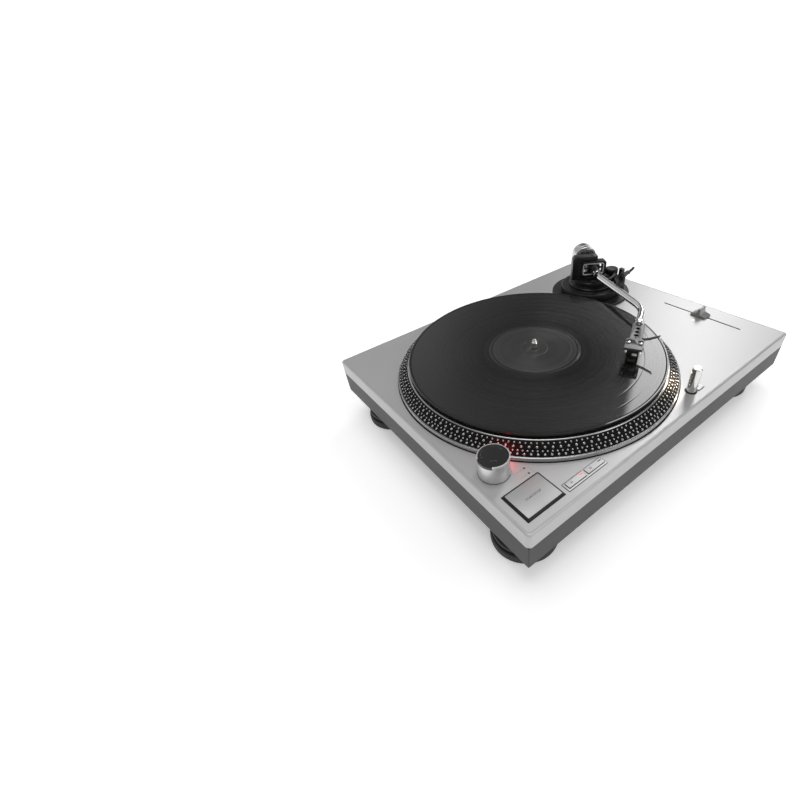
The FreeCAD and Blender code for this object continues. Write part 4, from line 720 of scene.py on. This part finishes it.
# ---------------------------------------------------------------- speed keys
place(refine("speed_tray", "speed_frame", 0.08), "chassis", "speed_tray", material=M["tray"], slot="silver_paint")
tx, ty = (-166.5 - 115.9) / 2, (-165.7 - 156.4) / 2
o = strip_ring("speed_frame_shadow", 25.3 + 0.42, 4.65 + 0.42, 0.8, 0.41, T - 0.3, T + 0.3)
o.location = Vector((tx, ty, 0)) * MM
place(o, "chassis", material=M["seam"], slot="black_matte")
for tag, x, led in (("33", -153.1, True), ("45", -128.2, False)):
    body = "key_" + tag
    place(refine("button_" + tag, "speed_key_" + tag, 0.1), body, "button_" + tag, material=M["tray"], slot="silver_paint")
    # black skirt round the lower part of each key, a little wider than the key: painted shade on the key's sides
    o = strip_ring("speed_key_shade_skirt_" + tag, 11.20, 3.30, 0.6, 0.22, T - 3.0, T + 1.22)
    o.location = Vector((x, -160.5, 0)) * MM
    place(o, body, material=M["black_satin"], slot="black_matte")
    place(lettering("numerals_" + tag, tag, 2.0, x - 5.2, -160.4, T + 1.53, 0, 0.06), body, material=M["seam"], slot="black_matte")
    place(slab("key_lamp_" + tag, x + 5.9, -160.1, x + 9.9, -159.1, T + 1.42, T + 1.62, bevel=0.06), body, material=M["led_red" if led else "print_dark"], slot="led")

# ---------------------------------------------------------------- marks by the small dots
marks = []
for y0 in (-119.3, -126.6):
    marks += [slab("m", -188.2, y0 - 0.12, -180.9, y0 + 0.12, T + 0.01, T + 0.05, bevel=0), slab("m", -180.98, y0 - 1.6, -180.74, y0 + 1.6, T + 0.01, T + 0.05, bevel=0),
              slab("m", -174.6, y0 + 1.5, -172.4, y0 + 1.75, T + 0.01, T + 0.05, bevel=0), slab("m", -174.6, y0 - 1.75, -172.4, y0 - 1.5, T + 0.01, T + 0.05, bevel=0)]
place(merged("dot_marks", marks), "chassis", material=M["print_grey"], slot="black_matte")

# ---------------------------------------------------------------- target light
k1 = frame_matrix(33.4, -158.9)
place(lathe("light_sleeve", [(5.05, T - 1.4), (5.25, T - 1.4), (5.28, T + 0.1), (6.1, T + 0.14), (6.5, T + 0.02), (6.5, T), (5.31, T)], k1, 64, 0.05), "chassis", material=M["black_satin"], slot="black_matte")
place(refine("target_light_barrel", "light_tube", 0.3), "target_light", "target_light_barrel", material=M["bright"], slot="chrome")
place(lathe("light_cap", [(0, T + 30.2), (3.9, T + 30.2), (4.2, T + 30.26), (4.2, T + 30.28), (0, T + 30.3)], k1, 64, 0.0), "target_light", material=M["pale_cap"], slot="chrome")
km = frame_matrix(33.4, -158.9, T + 24.3, 117.6)
place(lathe("light_lens", [(0, 3.1), (2.05, 3.1), (2.05, 4.35), (1.4, 4.72), (0, 4.85)], along(km), 32, 0.1), "target_light", material=M["lens"], slot="led")
place(refine("light_button", "light_key_cap", 0.12), "light_key", "light_button", material=M["tray"], slot="silver_paint")
marks = [lathe("i", [(0.75, T + 1.22), (1.0, T + 1.22), (1.0, T + 1.26), (0.75, T + 1.26)], frame_matrix(45, -159.2), 24, 0)]
for a in (90, 30, 150, 60, 120):
    marks.append(arc_strip("r", 45, -159.2, T + 1.22, 1.35, 2.0, a - 4, a + 4, 0.04, 3))
marks.append(slab("b", 44.5, -161.2, 45.5, -160.5, T + 1.22, T + 1.26, bevel=0))
place(merged("light_key_mark", marks), "light_key", material=M["print_dark"], slot="black_matte")

# ---------------------------------------------------------------- pitch fader
FX, FY = 192.8, -77.0
for tag, x0, x1 in (("", -1.19, -0.85), ("_b", 0.85, 1.19)):
    place(slab("fader_slot_lining" + tag, FX + x0, FY - 54.9, FX + x1, FY + 54.9, T - 2.0, T - 0.05, bevel=0.02), "chassis", material=M["seam"], slot="black_matte")
place(slab("fader_slot_floor", FX - 1.2, FY - 54.9, FX + 1.2, FY + 54.9, T - 13.4, T - 11.6, bevel=0.02), "chassis", material=M["seam"], slot="black_matte")
place(refine("pitch_knob", "fader_cap", 0.3), "pitch_slider", "pitch_knob", material=M["fader"], slot="silver_paint")
place(slab("fader_cap_line", FX - 7.02, FY - 0.3, FX + 7.02, FY + 0.3, T + 11.42, T + 11.56, bevel=0.05), "pitch_slider", material=M["print_dark"], slot="black_matte")
place(slab("fader_cap_skirt", FX - 6.9, FY - 10.4, FX + 6.9, FY + 10.4, T + 0.15, T + 0.6, bevel=0.15, corner=0.6), "pitch_slider", material=M["black_satin"], slot="black_matte")
place(lathe("pitch_lamp", [(0, T - 0.6), (1.6, T - 0.6), (1.6, T + 0.1), (1.0, T + 0.3), (0, T + 0.35)], frame_matrix(174.5, -77), 32, 0.1), "chassis", material=M["led_green"], slot="led")
marks = []
for i in range(-8, 9):
    if i == 0:
        continue
    w = 3.0 if i % 2 == 0 else 1.8
    marks.append(slab("t", FX - 5.0 - w, FY + i * 6.25 - 0.11, FX - 5.0, FY + i * 6.25 + 0.11, T + 0.01, T + 0.04, bevel=0))
place(merged("pitch_scale", marks), "chassis", material=M["print_light"], slot="silver_paint")
nums = [lettering("n", str(abs(i)), 1.7, FX - 10.6, FY + i * 6.25, T + 0.02, 0, 0.03) for i in (-8, -6, -4, -2, 2, 4, 6, 8)]
place(merged("pitch_numerals", nums), "chassis", material=M["print_light"], slot="silver_paint")
place(merged("pitch_arrow", [slab("a", 184.2, 4.1, 188.4, 4.35, T + 0.01, T + 0.05, bevel=0), slab("a", 184.2, 2.4, 184.45, 4.2, T + 0.01, T + 0.05, bevel=0)]), "chassis", material=M["print_grey"], slot="silver_paint")

# ---------------------------------------------------------------- arm base
pv = frame_matrix(PX, PY)


def knurl(t, r, z):
    return -0.30 * (0.5 + 0.5 * math.cos(t * 96)) if r > 43.2 else 0.0


place(lathe("height_dial", [(28.35, T + 3.35), (42.9, T + 3.35), (43.95, T + 4.3), (43.95, T + 6.5), (43.95, T + 9.0), (43.95, T + 11.7), (42.9, T + 12.95), (38.2, T + 12.95), (37.6, T + 12.6), (34.5, T + 12.6), (34.2, T + 12.9), (28.35, T + 12.9)], pv, 768, 0.25, 2, sharp=50, wobble=knurl), "height_dial", "height_ring", material=M["black_satin"], slot="black_matte")
marks = []
for i in range(61):
    a = 20 + i * 5
    w = 1.9 if i % 10 == 0 else (1.2 if i % 5 == 0 else 0.8)
    marks.append(arc_strip("t", PX, PY, T + 12.97, 42.3 - w, 42.3, a - 0.16, a + 0.16, 0.03, 2))
for i in range(7):
    a = 20 + i * 50
    marks.append(lettering("n", str(i), 1.4, PX + 39.4 * math.cos(math.radians(a)), PY + 39.4 * math.sin(math.radians(a)), T + 12.98, a - 90, 0.03))
place(merged("height_scale", marks), "height_dial", material=M["print_grey"], slot="black_matte")
# raised beads round the steps of the platform
beads = [lathe("b", [(31.6, T + 15.7), (32.45, T + 15.35), (32.45, T + 15.9), (32.0, T + 16.22), (31.5, T + 16.05)], pv, 128, 0.2, 3),
         lathe("b", [(23.1, T + 21.7), (23.95, T + 21.35), (23.95, T + 21.9), (23.5, T + 22.2), (23.0, T + 22.05)], pv, 128, 0.2, 3, arc=(-5, 262))]
place(merged("platform_beads", beads), "arm_base", material=M["black_gloss"], slot="black_matte")
place(lathe("base_bead", [(55.2, T + 2.9), (55.6, T + 3.12), (56.1, T + 3.12), (56.5, T + 2.9)], pv, 160, 0.1, 3, arc=(-148, 96)), "chassis", material=M["black_gloss"], slot="black_matte")

# ---------------------------------------------------------------- gimbal
ar = frame_matrix(PX, PY, AZ, -124)
place(refine("gimbal_ring", "gimbal_frame", 0.5, 4), "gimbal", "gimbal_ring", material=M["black_satin"], slot="black_matte")
place(refine("gimbal_yoke", "yoke", 0.9, 4), "arm_base", "gimbal_yoke", material=M["black_satin"], slot="black_matte")


def window_edge(name, hx, hz0, hz1, width, x0, x1, m, r=1.8):
    """A polished chamfer round the inside of a rectangular opening in a plate across the X axis."""
    def loop(g, rr):
        return soften([(-hx - g, hz0 - g), (hx + g, hz0 - g), (hx + g, hz1 + g), (-hx - g, hz1 + g)], rr, 8, keep_axis=False)
    bm = bmesh.new()
    rows = []
    for g, x in ((-0.15, x0), (-0.15, x1 - 0.36), (0.45, x1), (width, x1), (width + 0.12, x1 - 0.25), (0.05, x0 - 0.12)):
        rows.append([bm.verts.new((m @ Vector((x, u, w))) * MM) for u, w in loop(g, r + g)])
    n = len(rows[0])
    for a in range(len(rows)):
        p, q = rows[a], rows[(a + 1) % len(rows)]
        for i in range(n):
            bm.faces.new([p[i], p[(i + 1) % n], q[(i + 1) % n], q[i]])
    return finish_mesh(bm, name, 40)


# pale chamfers round the gimbal's windows: painted highlight in place of the polished edges' reflection
place(merged("gimbal_polished_edges", [window_edge("e", 14.3, -7.0, 7.0, 1.5, 3.9, 4.64, ar), window_edge("e", 14.3, -7.0, 7.0, 1.5, 3.9, 4.64, ar @ Matrix.Rotation(math.pi, 4, "Z"))]), "gimbal", material=M["edge"], slot="chrome")
# lock nut under the upper pivot screw
ym = frame_matrix(PX, PY, T, -128)
place(lathe("pivot_nut", [(1.6, 56.05), (4.6, 56.05), (4.75, 56.3), (4.6, 56.75), (3.1, 56.95), (1.6, 56.95)], ym, 6, 0.12, 2), "arm_base", material=M["dark_steel"], slot="black_matte")

# ---------------------------------------------------------------- arm
a3 = math.radians(-26.7)
P0, P1, P2 = Vector((14.2, 0, 0)), Vector((35.8, 0, 0)), Vector((138.3, 23.9, 0))
P3 = P2 + Vector((math.cos(a3), math.sin(a3), 0)) * 35.2


def tangent_arc(p, q, r, radius, n=28):
    u1, u2 = (q - p).normalized(), (r - q).normalized()
    turn = u1.angle(u2)
    t = radius * math.tan(turn / 2)
    s0 = q - u1 * t
    centre = q + (u2 - u1).normalized() * (radius / math.cos(turn / 2))
    sgn = 1 if u1.cross(u2).z > 0 else -1
    a = s0 - centre
    return [centre + Matrix.Rotation(sgn * turn * i / n, 3, "Z") @ a for i in range(n + 1)]


path = [P0, P0 + (P1 - P0) * 0.3] + tangent_arc(P0, P1, P2, 60.0) + [P1 + (P2 - P1) * 0.5] + tangent_arc(P1, P2, P3, 42.0) + [P3]
place(sweep("arm_pipe", path, 4.49, ar, 64), "arm", "arm_tube", material=M["chrome"], slot="arm_silver")
place(refine("arm_sleeve", "pivot_sleeve", 0.35), "arm", "arm_sleeve", material=M["black_satin"], slot="arm_black")
place(lathe("sleeve_ring", [(4.6, 25.95), (5.15, 25.95), (5.5, 25.3), (5.5, 24.7), (5.2, 24.4), (4.6, 24.4)], along(ar), 64, 0.12), "arm", material=M["bright"], slot="chrome")
sm = ar @ Matrix.Translation(Vector((22.6, 0, 0))) @ Matrix.Rotation(math.radians(62), 4, "X")
place(lathe("sleeve_screw", [(0, 5.2), (1.35, 5.2), (1.35, 6.55), (1.0, 6.9), (0, 6.95)], sm, 32, 0.12), "arm", material=M["chrome"], slot="chrome")


def fine_knurl(step, depth, r_min):
    return lambda t, r, z: -depth * (0.5 + 0.5 * math.cos(t * step)) if r > r_min else 0.0


prof = [(8.05, 60), (12.2, 60), (12.5, 59.5), (13.4, 59.5), (13.7, 60), (14.9, 60), (16.1, 59), (17.15, 58), (17.15, 46.1), (16.7, 45.7), (16.7, 45.2), (17.15, 44.8), (17.15, 38.9), (16.4, 38.05), (12.65, 38.05), (12.65, 34.1), (8.05, 34.1)]
place(lathe("weight_drum", prof, rear(ar), 128, 0.35, 4), "weight", "counterweight", material=M["weight"], slot="weight_silver")
prof = [(9.05, 33.15), (12.7, 33.15), (12.7, 37.65), (16.2, 37.65), (16.2, 36.6), (15.65, 34), (15.45, 32.6), (14.8, 32.02), (9.6, 32.02), (9.05, 32.4)]
place(lathe("force_dial", prof, rear(ar), 240, 0.2, 3, wobble=fine_knurl(60, 0.16, 16.0)), "force_ring", "pressure_ring", material=M["speckle"], slot="black_matte")


def on_drum(r, x, theta):
    """A frame on a drum about the arm's axis: its X runs round the drum and its Z points out."""
    t = math.radians(theta)
    m = Matrix(((0, -1, 0, x), (math.cos(t), 0, math.sin(t), r * math.sin(t)), (-math.sin(t), 0, math.cos(t), r * math.cos(t)), (0, 0, 0, 1)))
    return ar @ m


def lettering_at(name, text, size, m, thick=0.04):
    o = lettering(name, text, size, 0, 0, 0, 0, thick)
    full = m.copy()
    full.translation = full.translation * MM
    o.data.transform(full)
    return o


marks = []
for i in range(60):
    w = 1.7 if i % 5 == 0 else 1.0
    marks.append(prism("t", rect(-0.2, -w / 2, 0.2, w / 2), -0.05, 0.06, on_drum(15.72, -(33.3 + w / 2), 6 * i), bevel=0.0))
for i in range(12):
    marks.append(lettering_at("n", str(i % 4), 1.25, on_drum(15.98, -35.8, 30 * i)))
place(merged("force_scale", marks), "force_ring", material=M["print_light"], slot="black_matte")
face = []
for i in range(24):
    a = math.radians(15 * i)
    rr = 13.4
    m = ar @ Matrix.Translation(Vector((-31.98, rr * math.sin(a), rr * math.cos(a)))) @ Matrix.Rotation(math.radians(90), 4, "Y")
    face.append(lathe("d", [(0, -0.05), (0.32 if i % 2 else 0.5, -0.05), (0.32 if i % 2 else 0.5, 0.06), (0, 0.08)], m, 12, 0))
place(merged("force_dots", face), "force_ring", material=M["print_light"], slot="black_matte")

# ---------------------------------------------------------------- headshell
sh = frame_matrix(63.8, -65.0, AZ, -150.7)
prof = [(4.56, -1.95), (5.1, -1.95), (5.55, -1.4), (5.55, 1.0), (5.2, 1.5), (5.2, 2.2), (5.5, 2.6), (5.5, 8.0), (5.2, 8.4), (5.2, 9.1), (5.55, 9.6), (5.55, 11.3), (5.1, 11.95), (4.56, 11.95)]
place(lathe("locking_collar", prof, along(sh), 224, 0.12, 2, sharp=40, wobble=lambda t, r, z: -0.22 * (0.5 + 0.5 * math.cos(t * 28)) if 2.4 < z < 8.2 and r > 5.3 else 0.0), "shell_collar", "headshell_collar", material=M["chrome"], slot="chrome")
place(refine("headshell", "shell_plate", 0.35), "arm", "headshell", material=M["head"], slot="shell_grey")
rims = []
for x_ in (24, 32, 40):
    rims.append(lathe("r", [(2.62, 2.96), (2.95, 3.03), (3.35, 3.03), (3.55, 2.98), (3.3, 2.9), (2.62, 2.5)], sh @ Matrix.Translation(Vector((x_, 0, 0))), 48, 0.05))
place(merged("shell_hole_rims", rims), "arm", material=M["head"], slot="shell_grey")
place(merged("shell_hole_liners", [lathe("l", [(2.25, 0.25), (2.58, 0.25), (2.58, 2.7), (2.25, 2.2)], sh @ Matrix.Translation(Vector((x_, 0, 0))), 48, 0.05) for x_ in (24, 32, 40)]
             + [lathe("l", [(0, 2.9), (1.25, 2.9), (1.25, 3.03), (0, 3.03)], sh @ Matrix.Translation(Vector((45.6, 0, 0))), 24, 0.02)]), "arm", material=M["seam"], slot="black_matte")
place(refine("finger_lift", "finger_bar", 0.3), "arm", "finger_lift", material=M["dark_steel"], slot="chrome")
place(refine("cartridge", "cartridge_shell", 0.3), "arm", "cartridge", material=M["black_satin"], slot="black_matte")
place(refine("stylus", "stylus_grip", 0.12), "arm", "stylus", material=M["black_satin"], slot="black_matte")
# bare silver plate on the cartridge's face and two front pins
place(prism("cartridge_plate", rect(-0.4, -8.4, 4.8, -5.4), 64.9, 65.4, sh, axis="x", bevel=0.12), "arm", material=M["edge"], slot="shell_grey")
wells = [prism("w", [(57.2 + 3.4 * math.cos(a) + (3.4 if math.cos(a) < 0 else 0) * -1.0, k_ * 6.35 + 2.75 * math.sin(a)) for a in (2 * math.pi * i / 28 for i in range(28))], 2.95, 3.05, sh, bevel=0.0) for k_ in (1, -1)]
place(merged("screw_wells", wells), "arm", material=M["seam"], slot="black_matte")
place(merged("shell_studs", [lathe("n", [(0, -3.6), (0.9, -3.5), (1.3, -3.0), (1.3, -1.2), (0.85, -0.8), (0.85, 0.3), (0, 0.3)], sh @ Matrix.Translation(Vector((67.6, k_ * 7.4, 0))), 24, 0.15, 2) for k_ in (1, -1)]), "arm", material=M["edge"], slot="chrome")
# cross slots in the two screw heads
slots = []
for k_ in (1, -1):
    for turn in (20 * k_, 20 * k_ + 90):
        slots.append(slab("s", -1.45, -0.28, 1.45, 0.28, 4.66, 4.74, sh @ Matrix.Translation(Vector((57.5, k_ * 6.35, 0))) @ Matrix.Rotation(math.radians(turn), 4, "Z"), bevel=0.02))
place(merged("screw_slots", slots), "arm", material=M["seam"], slot="black_matte")
place(refine("cartridge_screws", "shell_screws", 0.15), "arm", "cartridge_screws", material=M["chrome"], slot="chrome")

# ---------------------------------------------------------------- side controls
dm = frame_matrix(PX + 25.1, PY - 16.3)
prof = [(0, T + 19.1), (1.95, T + 19.1), (1.95, T + 23.9), (4.95, T + 23.9), (4.95, T + 25.9), (9.0, T + 25.9), (9.45, T + 26.5), (9.45, T + 32.6), (8.7, T + 33.6), (7.9, T + 33.95), (6.6, T + 33.95), (6.2, T + 33.7), (0, T + 33.7)]
place(lathe("skate_knob", prof, dm, 160, 0.2, 3, wobble=lambda t, r, z: -0.25 * (0.5 + 0.5 * math.cos(t * 40)) if r > 9.2 else 0.0), "skate_dial", "anti_skate_dial", material=M["black_satin"], slot="black_matte")
marks = [lettering("n", str(i), 1.25, PX + 25.1 + 7.2 * math.cos(math.radians(230 - i * 42)), PY - 16.3 + 7.2 * math.sin(math.radians(230 - i * 42)), T + 33.97, 230 - i * 42 - 90, 0.03) for i in range(8)]
marks += [arc_strip("t", PX + 25.1, PY - 16.3, T + 33.72, 4.9, 5.7, a - 1.5, a + 1.5, 0.04, 2) for a in range(-64, 231, 14)]
place(merged("skate_scale", marks), "skate_dial", material=M["print_light"], slot="black_matte")
place(refine("cue_lift_housing", "lift_housing", 0.45, 4), "arm_base", "cue_lift_housing", material=M["black_satin"], slot="black_matte")
place(refine("cue_lever", "lift_lever", 0.35, 3), "cue_handle", "cue_lever", material=M["black_satin"], slot="black_matte")
place(refine("lift_bar", "lift_bow", 0.4, 4), "lift", "lift_bar", material=M["black_matte"], slot="black_matte")
place(refine("arm_rest", "rest_post", 0.4, 4), "arm_base", "arm_rest", material=M["black_satin"], slot="black_matte")
place(refine("arm_rest_clip", "rest_clip_arm", 0.25, 3), "rest_clip", "arm_rest_clip", material=M["black_satin"], slot="black_matte")

# ---------------------------------------------------------------- rear connectors
for i, (x, key) in enumerate(((72, "white_plastic"), (90, "red_plastic"))):
    jm = frame_matrix(x, 175.5 - 16, 53) @ Matrix.Rotation(math.radians(-90), 4, "X")
    place(lathe("jack_ring_%d" % (i + 1), [(4.25, 1.1), (6.2, 1.1), (6.4, 1.4), (6.4, 2.6), (6.0, 3.0), (4.5, 3.0), (4.25, 2.7)], jm, 48, 0.15), "chassis", material=M[key], slot="black_matte")
    place(lathe("jack_core_%d" % (i + 1), [(1.75, 8.6), (3.25, 8.6), (3.25, 10.9), (2.9, 11.2), (1.95, 11.2), (1.75, 10.9)], jm, 48, 0.1), "chassis", material=M[key], slot="black_matte")

# ---------------------------------------------------------------- floor, lights, camera
bpy.ops.mesh.primitive_plane_add(size=1)
floor = bpy.context.active_object
floor.name = "floor"
floor.scale = (160, 160, 1)
k = Mat("studio floor")
n = k.noise(3, 2)
k.colour(k.ramp(n, [(0.3, 0.90), (0.7, 0.92)]))
k.rough(0.9)
k.b.inputs["Specular IOR Level"].default_value = 0.1
k.b.inputs["Emission Color"].default_value = (1, 1, 1, 1)
k.b.inputs["Emission Strength"].default_value = 0.36
floor.data.materials.append(k.m)


def lamp(kind, name, loc, power, colour, size, body=None, aim=None, **extra):
    li = bpy.data.lights.new(name, kind)
    li.energy = power
    li.color = colour
    li.shadow_soft_size = size
    for a_, v_ in extra.items():
        setattr(li, a_, v_)
    o_ = link(bpy.data.objects.new(name, li))
    turned = Matrix.Identity(4)
    if aim:
        turned = Matrix.Rotation(math.radians(aim[0]), 4, "Z") @ Matrix.Rotation(math.radians(90 - aim[1]), 4, "Y") @ Matrix.Rotation(math.radians(180), 4, "Y")
    o_.matrix_world = Matrix.Translation(Vector(loc) * MM) @ turned
    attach(o_, body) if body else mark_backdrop(o_)
    return o_


lamp("POINT", "strobe_lamp", (-183.2, -97.2, T + 8.5), 0.02, (1.0, 0.010, 0.008), 0.0015)
lamp("SPOT", "target_lamp", (33.4 - 2.6, -158.9 + 5.0, T + 24.3), 0.15, (1.0, 0.82, 0.60), 0.0008, "target_light", (117.6, -24), spot_size=math.radians(140), spot_blend=1.0)

# The studio: a bright ceiling, one tall soft panel on the right, a pale wall at the horizon, grey elsewhere.
world = bpy.data.worlds.new("studio")
bpy.context.scene.world = world
world.use_nodes = True
nt = world.node_tree
nt.nodes.clear()


def wnode(kind, **kw):
    n_ = nt.nodes.new(kind)
    for a_, v_ in kw.items():
        setattr(n_, a_, v_)
    return n_


def wmath(op, a_, b_=None, c_=None):
    n_ = wnode("ShaderNodeMath", operation=op)
    for i_, v_ in enumerate((a_, b_, c_)):
        if v_ is None:
            continue
        if isinstance(v_, (int, float)):
            n_.inputs[i_].default_value = v_
        else:
            nt.links.new(v_, n_.inputs[i_])
    return n_.outputs[0]


def wstep(v_, lo_, hi_):
    n_ = wnode("ShaderNodeMapRange", interpolation_type="SMOOTHSTEP")
    n_.inputs["From Min"].default_value = lo_
    n_.inputs["From Max"].default_value = hi_
    nt.links.new(v_, n_.inputs["Value"])
    return n_.outputs["Result"]


def wband(v_, lo_, hi_, soft):
    return wmath("MULTIPLY", wstep(v_, lo_ - soft, lo_ + soft), wmath("SUBTRACT", 1.0, wstep(v_, hi_ - soft, hi_ + soft)))


wt = wnode("ShaderNodeTexCoord")
wn = wnode("ShaderNodeVectorMath", operation="NORMALIZE")
nt.links.new(wt.outputs["Generated"], wn.inputs[0])
ws = wnode("ShaderNodeSeparateXYZ")
nt.links.new(wn.outputs[0], ws.inputs[0])
el = wmath("DEGREES", wmath("ARCSINE", ws.outputs["Z"]))
az = wmath("DEGREES", wmath("ARCTAN2", ws.outputs["Y"], ws.outputs["X"]))
ceiling = wmath("MULTIPLY", wstep(el, 64, 78), CEILING)
panel = wmath("MULTIPLY", wmath("MULTIPLY", wband(az, 17.5, 29.7, 0.8), wband(el, 22, 50, 3)), PANEL)
front = wmath("MULTIPLY", wmath("MULTIPLY", wband(az, -78, -34, 8), wband(el, 30, 47, 4)), FRONT)
left = wmath("MULTIPLY", wmath("MULTIPLY", wband(az, 56, 140, 12), wband(el, 14, 50, 8)), LEFT)
wall = wmath("MULTIPLY", wmath("SUBTRACT", 1.0, wstep(el, 4, 12)), WALL)
total = wmath("ADD", wmath("ADD", wmath("ADD", ceiling, panel), wmath("ADD", left, wall)), wmath("ADD", front, wmath("MULTIPLY", wmath("SUBTRACT", 1.0, wmath("MULTIPLY", wmath("MULTIPLY", wband(az, 36, 58, 5), wband(el, 6, 38, 4)), 0.55)), FILL)))
lp = wnode("ShaderNodeLightPath")
mixed = wnode("ShaderNodeMix", data_type="FLOAT")
nt.links.new(lp.outputs["Is Camera Ray"], mixed.inputs[0])
nt.links.new(total, mixed.inputs[2])
mixed.inputs[3].default_value = 1.1
bg = wnode("ShaderNodeBackground")
bg.inputs["Color"].default_value = (1, 1, 1, 1)
nt.links.new(mixed.outputs[0], bg.inputs["Strength"])
wo = wnode("ShaderNodeOutputWorld")
nt.links.new(bg.outputs[0], wo.inputs["Surface"])

cam = bpy.data.cameras.new("camera")
cam.sensor_fit = "HORIZONTAL"
cam.sensor_width = 36.0
cam.lens = 429.7 / 800 * 36
cam.shift_x = -(480.0 - 400.0) / 800
cam.shift_y = (410.0 - 400.0) / 800
cam.clip_start = 0.02
cam.clip_end = 30
co = link(bpy.data.objects.new("camera", cam))
right = Vector((0.7771863, -0.6260403, -0.0636798))
down = Vector((-0.4422178, -0.4713662, -0.7630579))
fwd = Vector((0.4476884, 0.6211984, -0.6431855))
m3 = Matrix((right, -down, -fwd)).transposed()
co.matrix_world = Matrix.Translation(Vector((-362.7005, -315.2005, 383.0134)) * MM) @ m3.to_4x4()
sc = bpy.context.scene
sc.camera = co
sc.view_settings.view_transform = "Standard"
sc.view_settings.look = "None"
sc.view_settings.exposure = 0.0
sc.view_settings.gamma = 1.0

bpy.context.view_layer.update()
